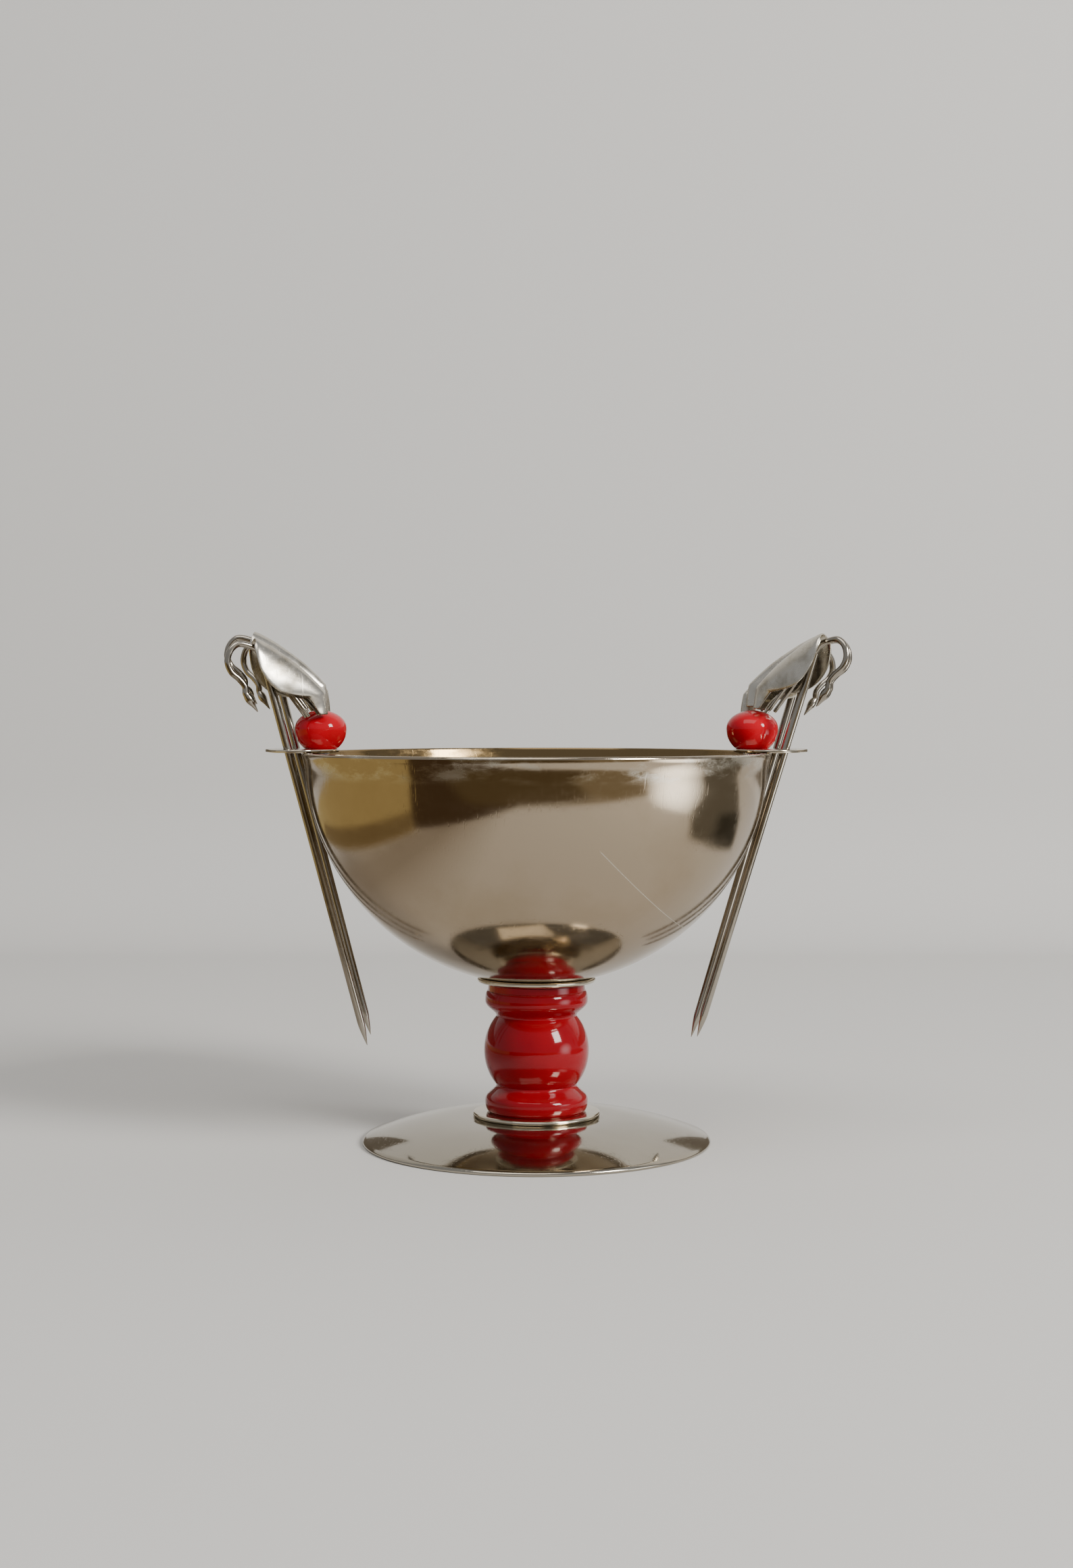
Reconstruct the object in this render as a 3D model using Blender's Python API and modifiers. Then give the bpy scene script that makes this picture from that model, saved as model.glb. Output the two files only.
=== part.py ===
"""Footed cocktail-pick bowl: a chromed bowl on a turned stem with six bird picks.

The bowl stands on a shallow domed foot. A tie screw clamps the foot, two
washers, the turned stem and the bowl together. An ear plate lies across the
rim at each side, carries a bead on a screw, and has three holes for picks.
Each pick is a pointed shaft with a bird on top: folded body, bent neck, legs.

Units are metres, +Z is up, and the origin is under the foot's centre.
"""
import math

import bmesh
import bpy
from mathutils import Matrix, Vector

MM = 0.001

# Clearances
SEAT_GAP = 0.3 * MM          # between pieces that rest on each other
BORE_CLEARANCE = 0.3 * MM    # round a screw in its bore, on the radius
HOLE_CLEARANCE = 0.35 * MM   # round a pick shaft in its hole, on the radius

# Foot
FOOT_RADIUS = 30.3 * MM
FOOT_HEIGHT = 4.5 * MM
FOOT_EDGE_HEIGHT = 0.7 * MM
FOOT_SHEET = 0.8 * MM
FOOT_RING_WIDTH = 1.8 * MM
FOOT_SEAT_RADIUS = 11.6 * MM

# Washers
WASHER_THICKNESS = 0.5 * MM
LOWER_WASHER_RADIUS = 11.1 * MM
UPPER_WASHER_RADIUS = 10.2 * MM

# Turned stem, with heights measured from its own foot
STEM_HEIGHT = 21.0 * MM
STEM_COLLAR_RADIUS = 8.95 * MM
STEM_NECK_RADIUS = 7.0 * MM
STEM_BARREL_RADIUS = 9.15 * MM
STEM_END_RADIUS = 8.4 * MM
STEM_COLLAR_HEIGHT = 1.7 * MM
STEM_NECK_HEIGHT = 4.5 * MM

# Bowl
BOWL_RADIUS = 40.1 * MM
BOWL_WALL = 0.7 * MM
LIP_HEIGHT = 3.2 * MM
LIP_FLARE = 0.6 * MM

# Tie screw and its nut
TIE_SCREW_RADIUS = 1.5 * MM
TIE_HEAD_RADIUS = 4.0 * MM
TIE_HEAD_RISE = 1.3 * MM
TIE_END_CLEARANCE = 0.9 * MM
TIE_NUT_FLATS = 5.5 * MM
TIE_NUT_THICKNESS = 2.0 * MM

# Ear plates
EAR_BEYOND_BOWL = 0.45 * MM  # from the bowl's radius out to the plate's middle
EAR_HALF_LENGTH = 6.35 * MM
EAR_BORDER = 3.5 * MM        # from an outer pick hole's middle to the plate's tip
EAR_THICKNESS = 0.4 * MM

# Beads and their screws
BEAD_INSIDE_BOWL = 2.7 * MM  # from the bowl's radius in to the bead's middle
BEAD_DIAMETER = 9.0 * MM
BEAD_HEIGHT = 6.4 * MM
BEAD_FLAT_RADIUS = 2.8 * MM  # of the wide base that stands on the ear
BEAD_SCREW_RADIUS = 0.8 * MM
BEAD_SCREW_DEPTH = 3.6 * MM
BEAD_HEAD_RADIUS = 1.5 * MM
BEAD_HEAD_THICKNESS = 0.9 * MM

# Picks
SHAFT_STANDOFF = 0.41474 * MM   # between the bowl and the shafts with the most tilt
PICK_SPACING = 1.8 * MM      # between the birds' widest parts, at their holes
SHAFT_RADIUS = 0.65 * MM
SHAFT_BELOW_RIM = 52.0 * MM
SHAFT_ABOVE_RIM = 17.0 * MM
SHAFT_TAPER = 4.0 * MM
NECK_RADIUS = 0.55 * MM
LEG_RADIUS = 0.35 * MM
LEG_SPREAD = 0.95 * MM
SHELL_SHEET = 0.3 * MM
PICK_TILT = {"left": math.radians(14.8), "right": math.radians(16.8)}
PICK_PLACES = {"front": -1, "middle": 0, "back": 1}
PICK_HEADING = {
    ("left", "front"): math.radians(22), ("left", "middle"): math.radians(0),
    ("left", "back"): math.radians(-26), ("right", "front"): math.radians(38),
    ("right", "middle"): math.radians(8), ("right", "back"): math.radians(-20),
}

# Birds, in the plane of the shaft. The breast's place and the neck's route are from
# the shaft's top. The body and the legs are in units of BODY_LENGTH from the breast.
# A body station is its back line, its wing's lower edge and its half width.
BREAST_AHEAD = 0.6 * MM
BREAST_RISE = 3.2 * MM
BODY_LENGTH = 10.0 * MM
BODY_STATIONS = (
    ((-0.88, -1.55), (-0.75, -1.52), 0.08),
    ((-0.92, -1.36), (-0.68, -1.34), 0.09),
    ((-0.94, -1.18), (-0.59, -1.18), 0.12),
    ((-0.82, -0.96), (-0.43, -1.12), 0.16),
    ((-0.66, -0.71), (-0.27, -1.05), 0.20),
    ((-0.48, -0.48), (-0.10, -0.94), 0.24),
    ((-0.30, -0.27), (0.03, -0.75), 0.26),
    ((-0.16, -0.13), (0.10, -0.51), 0.26),
    ((-0.06, -0.04), (0.09, -0.27), 0.22),
    ((0.00, 0.00), (0.06, -0.12), 0.16),
)
BODY_HALF_WIDTH = max(width for _, _, width in BODY_STATIONS)
WING_STEPS = 8
WING_TURN = math.radians(84)
NECK_ROUTE_MM = ((0.1, 0.6), (0.7, 1.5), (2.0, 2.5), (3.6, 3.1), (5.2, 2.3), (6.1, 0.6),
                 (5.9, -1.2), (4.9, -2.7), (4.3, -4.1), (4.5, -5.3))
HEAD_LENGTH = 1.1 * MM
BEAK_LENGTH = 1.5 * MM
LEG_HIP = (-0.25, -0.76)
LEG_FOOT = (-0.55, -1.50)
LEG_FIT_STEPS = 40

# Facets
BOWL_STEPS = 48
TURNED_STEPS = 32
SMALL_STEPS = 16

# Heights that follow from the sizes above
LOWER_WASHER_BOTTOM = FOOT_HEIGHT + SEAT_GAP
STEM_BOTTOM = LOWER_WASHER_BOTTOM + WASHER_THICKNESS + SEAT_GAP
STEM_TOP = STEM_BOTTOM + STEM_HEIGHT
UPPER_WASHER_BOTTOM = STEM_TOP + SEAT_GAP
BOWL_BOTTOM = UPPER_WASHER_BOTTOM + WASHER_THICKNESS + SEAT_GAP
RIM_HEIGHT = BOWL_BOTTOM + BOWL_RADIUS
BOWL_INNER_RADIUS = BOWL_RADIUS - BOWL_WALL
EAR_BOTTOM = RIM_HEIGHT + SEAT_GAP
EAR_TOP = EAR_BOTTOM + EAR_THICKNESS
BEAD_BOTTOM = EAR_TOP + SEAT_GAP
BEAD_MIDDLE = BEAD_BOTTOM + BEAD_HEIGHT / 2
TIE_BORE = TIE_SCREW_RADIUS + BORE_CLEARANCE
BEAD_BORE = BEAD_SCREW_RADIUS + BORE_CLEARANCE
PICK_HOLE = SHAFT_RADIUS + HOLE_CLEARANCE
PICK_HOLE_RADIUS = (BOWL_RADIUS + SHAFT_RADIUS + SHAFT_STANDOFF) / math.cos(max(PICK_TILT.values()))
PICK_HOLE_PITCH = 2 * BODY_HALF_WIDTH * BODY_LENGTH + PICK_SPACING
EAR_CENTRE_RADIUS = BOWL_RADIUS + EAR_BEYOND_BOWL
EAR_HALF_WIDTH = PICK_HOLE_PITCH + EAR_BORDER
BEAD_PLACE_RADIUS = BOWL_RADIUS - BEAD_INSIDE_BOWL

# Colours, metallic and roughness of the finishes
FINISHES = {
    "polished": ((0.72, 0.68, 0.60, 1.0), 1.0, 0.08),
    "red": ((0.62, 0.01, 0.03, 1.0), 0.0, 0.12),
    "silver": ((0.60, 0.57, 0.52, 1.0), 1.0, 0.28),
    "steel": ((0.50, 0.50, 0.50, 1.0), 1.0, 0.35),
}


def clear_scene():
    """Remove every object, so that the model starts from nothing."""
    for item in list(bpy.data.objects):
        bpy.data.objects.remove(item, do_unlink=True)


def new_collection(name):
    """Make a collection and link it to the scene."""
    collection = bpy.data.collections.new(name)
    bpy.context.scene.collection.children.link(collection)
    return collection


def new_material(name, finish):
    """Make a material for one part with the named finish."""
    colour, metallic, roughness = FINISHES[finish]
    material = bpy.data.materials.new(name)
    material.use_nodes = True
    shader = material.node_tree.nodes["Principled BSDF"]
    shader.inputs["Base Color"].default_value = colour
    shader.inputs["Metallic"].default_value = metallic
    shader.inputs["Roughness"].default_value = roughness
    return material


def add_part(name, data, finish, matrix=None):
    """Add an object with its own material to the parts collection."""
    item = bpy.data.objects.new(name, data)
    data.materials.clear()
    data.materials.append(new_material(name, finish))
    PARTS.objects.link(item)
    if matrix is not None:
        item.matrix_world = matrix
    return item


def arc(centre, radius, start, end, count):
    """Points on an arc in the XZ plane, angles in degrees from +X."""
    points = []
    for index in range(count + 1):
        angle = math.radians(start + (end - start) * index / count)
        points.append((centre[0] + radius * math.cos(angle), centre[1] + radius * math.sin(angle)))
    return points


def turned(name, profile, finish, steps, matrix=None):
    """A turned part: a closed profile, top to bottom outside, spun round Z."""
    count = len(profile)
    mesh = bpy.data.meshes.new(name)
    edges = [(index, (index + 1) % count) for index in range(count)]
    if profile[0][0] == 0 and profile[-1][0] == 0:
        edges.pop()
    mesh.from_pydata([(x, 0, z) for x, z in profile], edges, [])
    item = add_part(name, mesh, finish, matrix)
    screw = item.modifiers.new("Screw", "SCREW")
    screw.angle = math.tau
    screw.steps = screw.render_steps = steps
    screw.use_merge_vertices = True
    screw.merge_threshold = 0.00001
    screw.use_smooth_shade = True
    return item


def evaluated_mesh(item):
    """A plain mesh of an object with its modifiers and curve settings."""
    graph = bpy.context.evaluated_depsgraph_get()
    graph.update()
    mesh = bpy.data.meshes.new_from_object(item.evaluated_get(graph))
    work = bmesh.new()
    work.from_mesh(mesh)
    bmesh.ops.remove_doubles(work, verts=work.verts, dist=0.00001)
    work.to_mesh(mesh)
    work.free()
    return mesh


def cut(item, cutter):
    """Cut one object out of another with an exact Boolean."""
    cutter.hide_render = True
    cutter.display_type = "WIRE"
    boolean = item.modifiers.new("Cut", "BOOLEAN")
    boolean.operation = "DIFFERENCE"
    boolean.solver = "EXACT"
    boolean.object = cutter


def disc_mesh(name, radius, thickness, segments):
    """A capped cylinder along Z, centred on its middle."""
    mesh = bpy.data.meshes.new(name)
    work = bmesh.new()
    bmesh.ops.create_cone(
        work, cap_ends=True, segments=segments, radius1=radius, radius2=radius, depth=thickness)
    work.to_mesh(mesh)
    work.free()
    return mesh


def cylinder_cutter(name, radius, length, matrix):
    """A cylinder along local Z that cuts a hole."""
    item = bpy.data.objects.new(name, disc_mesh(name, radius, length, SMALL_STEPS))
    item.matrix_world = matrix
    CUTTERS.objects.link(item)
    return item


def wire(name, points, radii, finish, matrix):
    """A round wire along a list of points, with a radius at each point."""
    curve = bpy.data.curves.new(name, "CURVE")
    curve.dimensions = "3D"
    curve.bevel_depth = 1.0
    curve.bevel_resolution = 2
    curve.use_fill_caps = True
    spline = curve.splines.new("POLY")
    spline.points.add(len(points) - 1)
    for point, place, radius in zip(spline.points, points, radii):
        point.co = (*place, 1)
        point.radius = radius
    source = bpy.data.objects.new(name + "_path", curve)
    CUTTERS.objects.link(source)
    mesh = evaluated_mesh(source)
    bpy.data.objects.remove(source, do_unlink=True)
    mesh.shade_smooth()
    mesh.set_sharp_from_angle(angle=math.radians(40))
    return add_part(name, mesh, finish, matrix)


def smooth_path(knots, count):
    """Points on a smooth curve through the knots, with count steps per span."""
    ends = [knots[0] * 2 - knots[1]] + knots + [knots[-1] * 2 - knots[-2]]
    points = []
    for index in range(1, len(ends) - 2):
        before, start, end, after = ends[index - 1:index + 3]
        for step in range(count):
            t = step / count
            points.append(0.5 * (2 * start + (end - before) * t
                                 + (2 * before - 5 * start + 4 * end - after) * t ** 2
                                 + (3 * start - before - 3 * end + after) * t ** 3))
    points.append(knots[-1])
    return points


def sphere_height(radius, reach):
    """How far a sphere of this radius falls below its rim plane at a reach."""
    return math.sqrt(radius ** 2 - reach ** 2)


def build_foot():
    """The shallow domed foot, which stands on a narrow flat ring."""
    rise = FOOT_HEIGHT - FOOT_EDGE_HEIGHT
    span = FOOT_RADIUS - FOOT_SEAT_RADIUS
    inner = FOOT_RADIUS - FOOT_RING_WIDTH

    def top(reach):
        return FOOT_EDGE_HEIGHT + rise * (1 - ((reach - FOOT_SEAT_RADIUS) / span) ** 2)

    count = 8
    outside = [FOOT_SEAT_RADIUS + span * index / count for index in range(count + 1)]
    inside = [inner - (inner - FOOT_SEAT_RADIUS) * index / count for index in range(count + 1)]
    profile = [(TIE_BORE, FOOT_HEIGHT)]
    profile += [(reach, top(reach)) for reach in outside]
    profile += [(FOOT_RADIUS, 0), (inner, 0)]
    profile += [(reach, top(reach) - FOOT_SHEET) for reach in inside]
    profile += [(TIE_BORE, FOOT_HEIGHT - FOOT_SHEET)]
    turned("foot_disc", profile, "polished", BOWL_STEPS)


def build_lower_washer():
    """The flat washer between the foot and the stem."""
    bottom = LOWER_WASHER_BOTTOM
    top = bottom + WASHER_THICKNESS
    round_off = WASHER_THICKNESS * 0.3
    profile = [
        (TIE_BORE, top), (LOWER_WASHER_RADIUS - round_off, top),
        (LOWER_WASHER_RADIUS, top - round_off), (LOWER_WASHER_RADIUS, bottom + round_off),
        (LOWER_WASHER_RADIUS - round_off, bottom), (TIE_BORE, bottom),
    ]
    turned("lower_washer", profile, "polished", TURNED_STEPS)


def build_upper_washer():
    """The dished washer that follows the bowl's round bottom."""
    upper = BOWL_RADIUS + SEAT_GAP
    lower = upper + WASHER_THICKNESS
    count = 4
    reaches = [TIE_BORE + (UPPER_WASHER_RADIUS - TIE_BORE) * i / count for i in range(count + 1)]
    profile = [(reach, RIM_HEIGHT - sphere_height(upper, reach)) for reach in reaches]
    profile += [(reach, RIM_HEIGHT - sphere_height(lower, reach)) for reach in reversed(reaches)]
    turned("upper_washer", profile, "polished", TURNED_STEPS)


def stem_outline():
    """The stem's outside, top down: collar, notch, round barrel, notch, collar."""
    swell = STEM_BARREL_RADIUS - STEM_NECK_RADIUS
    half = STEM_HEIGHT / 2 - STEM_NECK_HEIGHT
    bulge = (half ** 2 + swell ** 2) / (2 * swell)
    spread = math.degrees(math.asin(half / bulge))
    centre = (STEM_BARREL_RADIUS - bulge, STEM_HEIGHT / 2)
    barrel = arc(centre, bulge, spread, -spread, 8)
    reach = STEM_COLLAR_RADIUS - STEM_NECK_RADIUS
    drop = STEM_NECK_HEIGHT - STEM_COLLAR_HEIGHT
    collar = [(STEM_END_RADIUS, 0.0), (STEM_COLLAR_RADIUS - reach / 8, STEM_COLLAR_HEIGHT / 4)]
    for index in range(4):
        share = index / 4
        blend = (1 - math.cos(math.pi * share)) / 2
        collar.append((STEM_COLLAR_RADIUS - reach * blend, STEM_COLLAR_HEIGHT + drop * share))
    upper = [(radius, STEM_HEIGHT - height) for radius, height in collar]
    outline = upper + barrel + list(reversed(collar))
    return [(radius, STEM_BOTTOM + height) for radius, height in outline]


def build_stem():
    """The turned stem, bored for the tie screw and dished under the washer."""
    dish_radius = BOWL_RADIUS + WASHER_THICKNESS + 2 * SEAT_GAP
    count = 3
    dish = []
    for index in range(count + 1):
        reach = TIE_BORE + (STEM_END_RADIUS - TIE_BORE) * index / count
        dish.append((reach, RIM_HEIGHT - sphere_height(dish_radius, reach)))
    profile = dish + stem_outline()[1:] + [(TIE_BORE, STEM_BOTTOM)]
    turned("stem", profile, "red", TURNED_STEPS)


def build_bowl():
    """The half-round bowl with a slightly flared lip and a hole in the bottom."""
    count = 16

    def wall(radius):
        first = math.asin(TIE_BORE / radius)
        points = []
        for index in range(count + 1):
            angle = first + (math.pi / 2 - first) * index / count
            depth = radius * math.cos(angle)
            reach = radius * math.sin(angle)
            over = max(0.0, 1 - depth / LIP_HEIGHT)
            points.append((reach + LIP_FLARE * over ** 2, RIM_HEIGHT - depth))
        return points

    inner = wall(BOWL_INNER_RADIUS)
    outer = wall(BOWL_RADIUS)
    profile = inner + list(reversed(outer))
    turned("bowl", profile, "polished", BOWL_STEPS)


def build_tie_screw():
    """The screw through the whole stand, with a low domed head in the bowl."""
    seat = RIM_HEIGHT - sphere_height(BOWL_INNER_RADIUS, TIE_HEAD_RADIUS) + SEAT_GAP
    dome = (TIE_HEAD_RISE ** 2 + TIE_HEAD_RADIUS ** 2) / (2 * TIE_HEAD_RISE)
    half = math.degrees(math.asin(TIE_HEAD_RADIUS / dome))
    centre = (0, seat + TIE_HEAD_RISE - dome)
    profile = arc(centre, dome, 90, 90 - half, 5)
    profile[0] = (0, seat + TIE_HEAD_RISE)
    profile += [(TIE_SCREW_RADIUS, seat), (TIE_SCREW_RADIUS, TIE_END_CLEARANCE)]
    profile += [(0, TIE_END_CLEARANCE)]
    turned("tie_screw", profile, "steel", TURNED_STEPS)


def build_tie_nut():
    """The hexagon nut under the foot."""
    top = FOOT_HEIGHT - FOOT_SHEET - SEAT_GAP
    corner = TIE_NUT_FLATS / math.sqrt(3)
    mesh = disc_mesh("tie_nut", corner, TIE_NUT_THICKNESS, 6)
    place = Matrix.Translation((0, 0, top - TIE_NUT_THICKNESS / 2))
    nut = add_part("tie_nut", mesh, "steel", place)
    cut(nut, cylinder_cutter("tie_nut_bore", TIE_BORE, TIE_NUT_THICKNESS * 3, place))


def side_sign(side):
    """-1 for the left side and +1 for the right."""
    return -1 if side == "left" else 1


def hole_place(side, place):
    """Where a pick's shaft crosses the top of the ear plate."""
    across = PICK_PLACES[place] * PICK_HOLE_PITCH
    along = math.sqrt(PICK_HOLE_RADIUS ** 2 - across ** 2)
    return Vector((side_sign(side) * along, across, EAR_TOP))


def shaft_frame(side, place):
    """Frame on a shaft: Z up the shaft, X away from the bowl, turned to its heading."""
    hole = hole_place(side, place)
    outward = Vector((hole.x, hole.y, 0)).normalized()
    tilt = PICK_TILT[side]
    up = (outward * math.sin(tilt) + Vector((0, 0, 1)) * math.cos(tilt)).normalized()
    across = up.cross(outward).normalized()
    ahead = across.cross(up).normalized()
    frame = Matrix((ahead, across, up)).transposed().to_4x4()
    # The outward turn is undone, so that the heading is measured from the X axis.
    swing = math.atan2(outward.y, abs(outward.x)) * side_sign(side)
    heading = -PICK_HEADING[(side, place)] * side_sign(side)
    return Matrix.Translation(hole) @ frame @ Matrix.Rotation(heading - swing, 4, "Z")


def build_ear(side):
    """An oval ear plate with a screw hole and three slanted pick holes."""
    sign = side_sign(side)
    mesh = disc_mesh("ear_" + side, 1.0, EAR_THICKNESS, 32)
    mesh.transform(Matrix.Diagonal((EAR_HALF_LENGTH, EAR_HALF_WIDTH, 1, 1)))
    place = Matrix.Translation((sign * EAR_CENTRE_RADIUS, 0, EAR_BOTTOM + EAR_THICKNESS / 2))
    ear = add_part("ear_" + side, mesh, "polished", place)
    length = 6 * EAR_THICKNESS
    bead_place = Matrix.Translation((sign * BEAD_PLACE_RADIUS, 0, EAR_TOP))
    cut(ear, cylinder_cutter("ear_bead_hole_" + side, BEAD_BORE, length, bead_place))
    for name in PICK_PLACES:
        frame = shaft_frame(side, name)
        cut(ear, cylinder_cutter("ear_pick_hole_%s_%s" % (side, name), PICK_HOLE, length, frame))


def build_bead(side):
    """The oblate bead, fuller below, with a blind hole in its flat underside."""
    half = BEAD_HEIGHT / 2
    radius = BEAD_DIAMETER / 2
    lower_depth = half / math.sqrt(1 - (BEAD_FLAT_RADIUS / radius) ** 2)
    count = 12
    profile = []
    for index in range(count + 1):
        angle = math.radians(90 - 180 * index / count)
        depth = half if angle > 0 else lower_depth
        profile.append((radius * math.cos(angle), depth * math.sin(angle)))
    profile[0] = (0, half)
    profile = [point for point in profile if point[1] > -half]
    profile += [(BEAD_FLAT_RADIUS, -half), (BEAD_BORE, -half)]
    bore_end = BEAD_SCREW_DEPTH + SEAT_GAP - half
    profile += [(BEAD_BORE, bore_end), (0, bore_end)]
    place = Matrix.Translation((side_sign(side) * BEAD_PLACE_RADIUS, 0, BEAD_MIDDLE))
    turned("bead_" + side, profile, "red", TURNED_STEPS, place)


def build_bead_screw(side):
    """The small screw up through the ear into the bead."""
    top = BEAD_BOTTOM + BEAD_SCREW_DEPTH
    seat = EAR_BOTTOM - SEAT_GAP
    bottom = seat - BEAD_HEAD_THICKNESS
    edge = BEAD_HEAD_THICKNESS * 0.4
    profile = [
        (0, top), (BEAD_SCREW_RADIUS, top), (BEAD_SCREW_RADIUS, seat), (BEAD_HEAD_RADIUS, seat),
        (BEAD_HEAD_RADIUS, bottom + edge), (BEAD_HEAD_RADIUS - edge, bottom), (0, bottom),
    ]
    place = Matrix.Translation((side_sign(side) * BEAD_PLACE_RADIUS, 0, 0))
    turned("bead_screw_" + side, profile, "steel", SMALL_STEPS, place)


def bead_surface(side, point, margin):
    """Height of the bead, grown by a margin, under a point, or of the ear beside it."""
    centre = Vector((side_sign(side) * BEAD_PLACE_RADIUS, 0))
    reach = (point.xy - centre).length / (BEAD_DIAMETER / 2 + margin)
    if reach >= 1:
        return EAR_TOP + margin
    return BEAD_MIDDLE + (BEAD_HEIGHT / 2 + margin) * math.sqrt(1 - reach ** 2)


def bird_point(point, across=0.0):
    """Where a point of the body or the legs lies in the pick's frame."""
    return Vector((BREAST_AHEAD + point[0] * BODY_LENGTH, across,
                   SHAFT_ABOVE_RIM + BREAST_RISE + point[1] * BODY_LENGTH))


def body_mesh(name):
    """The bird's body: one sheet bent over its back line, open underneath."""
    mesh = bpy.data.meshes.new(name)
    work = bmesh.new()
    rows = []
    for back, edge, width in BODY_STATIONS:
        row = []
        for index in range(WING_STEPS + 1):
            angle = WING_TURN * (2 * index / WING_STEPS - 1)
            drop = (1 - math.cos(angle)) / (1 - math.cos(WING_TURN))
            point = (back[0] + (edge[0] - back[0]) * drop, back[1] + (edge[1] - back[1]) * drop)
            row.append(work.verts.new(bird_point(point, width * BODY_LENGTH * math.sin(angle))))
        rows.append(row)
    for row, following in zip(rows, rows[1:]):
        for index in range(WING_STEPS):
            work.faces.new((row[index], row[index + 1], following[index + 1], following[index]))
    work.to_mesh(mesh)
    work.free()
    return mesh


def build_pick(side, place):
    """One pick: its shaft, body, neck and legs, all placed on the shaft's frame."""
    tag = "pick_%s_%s_" % (side, place)
    frame = shaft_frame(side, place)
    tail_back, tail_edge, tail_width = BODY_STATIONS[0]
    corners = [((reach, tail_back[1]), tail_width) for reach in (tail_back[0], tail_edge[0])]
    corners += [(edge, width) for _, edge, width in BODY_STATIONS[1:]]
    places = [frame @ bird_point(corner, sign * width * BODY_LENGTH)
              for corner, width in corners for sign in (-1, 1)]
    shortfall = max(bead_surface(side, place, SEAT_GAP) - place.z for place in places)
    lift = shortfall / math.cos(PICK_TILT[side])
    frame = frame @ Matrix.Translation((0, 0, lift))

    shaft_low = -SHAFT_BELOW_RIM
    points = [Vector((0, 0, z)) for z in (shaft_low, shaft_low + SHAFT_TAPER, SHAFT_ABOVE_RIM)]
    wire(tag + "shaft", points, (0.08 * MM, SHAFT_RADIUS, SHAFT_RADIUS), "silver", frame)

    body = add_part(tag + "body", body_mesh(tag + "body"), "silver", frame)
    sheet = body.modifiers.new("Sheet", "SOLIDIFY")
    sheet.thickness = SHELL_SHEET
    sheet.offset = -1

    build_neck(tag, frame)
    build_legs(tag, frame, side)


def build_neck(tag, frame):
    """The bent neck wire, which thickens to a head and thins to a beak."""
    knots = [Vector((x * MM, 0, SHAFT_ABOVE_RIM + z * MM)) for x, z in NECK_ROUTE_MM]
    points = smooth_path(knots, 2)
    radii = [NECK_RADIUS] * len(points)
    ahead = (points[-1] - points[-2]).normalized()
    ahead = (ahead + Vector((-0.6, 0, -0.2))).normalized()
    points.append(points[-1] + ahead * HEAD_LENGTH)
    radii.append(NECK_RADIUS * 1.35)
    points.append(points[-1] + ahead * HEAD_LENGTH)
    radii.append(NECK_RADIUS * 0.9)
    points.append(points[-1] + ahead * BEAK_LENGTH)
    radii.append(NECK_RADIUS * 0.2)
    wire(tag + "neck", points, radii, "silver", frame)


def leg_clearance(frame, side, foot):
    """Height of the lower of the two feet above the bead or the ear."""
    gaps = []
    for spread in (-LEG_SPREAD, LEG_SPREAD):
        place = frame @ (foot + Vector((0, spread, 0)))
        gaps.append(place.z - bead_surface(side, place, SEAT_GAP + LEG_RADIUS))
    return min(gaps)


def build_legs(tag, frame, side):
    """The two legs, one bent wire, from inside the body down to the bead."""
    hip = bird_point(LEG_HIP)
    stride = (bird_point(LEG_FOOT) - hip).normalized()
    length = (bird_point(LEG_FOOT) - hip).length
    fall = -(frame.to_3x3() @ stride).z
    for _ in range(LEG_FIT_STEPS):
        length += min(0.0, leg_clearance(frame, side, hip + stride * length)) / (2 * fall)
    across = Vector((0, LEG_SPREAD, 0))
    points = [hip + stride * length - across]
    bend = 4
    for index in range(bend + 1):
        angle = math.pi * index / bend
        points.append(hip - stride * LEG_SPREAD * math.sin(angle) - across * math.cos(angle))
    points.append(hip + stride * length + across)
    wire(tag + "legs", points, [LEG_RADIUS] * len(points), "silver", frame)


def main():
    """Build the stand, the two ears and the six picks."""
    build_foot()
    build_lower_washer()
    build_stem()
    build_upper_washer()
    build_bowl()
    build_tie_screw()
    build_tie_nut()
    for side in ("left", "right"):
        build_ear(side)
        build_bead(side)
        build_bead_screw(side)
        for place in PICK_PLACES:
            build_pick(side, place)


clear_scene()
PARTS = new_collection("pick_bowl")
CUTTERS = new_collection("cutters")
main()
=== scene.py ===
"""Looks of the footed pick bowl: fine meshes, finishes, stage, lights and camera.

Every piece stands for the CAD node of the same place and keeps its size. Sizes
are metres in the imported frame: +Z up, the origin under the foot's centre.
"""
import logging
import math
from dataclasses import dataclass
from enum import Enum
from typing import Sequence

import bmesh
import bpy
from mathutils import Matrix, Vector

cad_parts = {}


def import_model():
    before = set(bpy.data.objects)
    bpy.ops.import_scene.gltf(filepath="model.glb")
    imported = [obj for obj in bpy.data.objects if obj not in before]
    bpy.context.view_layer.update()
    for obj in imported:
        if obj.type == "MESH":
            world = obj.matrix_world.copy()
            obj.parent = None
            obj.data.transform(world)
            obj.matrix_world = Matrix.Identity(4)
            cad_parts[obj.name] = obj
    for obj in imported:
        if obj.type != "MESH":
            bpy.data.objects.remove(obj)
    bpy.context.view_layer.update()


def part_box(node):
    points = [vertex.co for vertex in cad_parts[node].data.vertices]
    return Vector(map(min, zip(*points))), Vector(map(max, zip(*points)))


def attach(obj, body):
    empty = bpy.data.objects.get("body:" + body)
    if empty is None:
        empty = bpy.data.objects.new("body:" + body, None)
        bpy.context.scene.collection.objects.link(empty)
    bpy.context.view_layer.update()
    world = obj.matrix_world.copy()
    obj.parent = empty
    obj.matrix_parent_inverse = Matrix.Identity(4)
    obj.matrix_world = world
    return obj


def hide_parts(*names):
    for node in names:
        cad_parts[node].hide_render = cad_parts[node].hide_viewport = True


LOG = logging.getLogger("pick_bowl")
MM = 0.001
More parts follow.
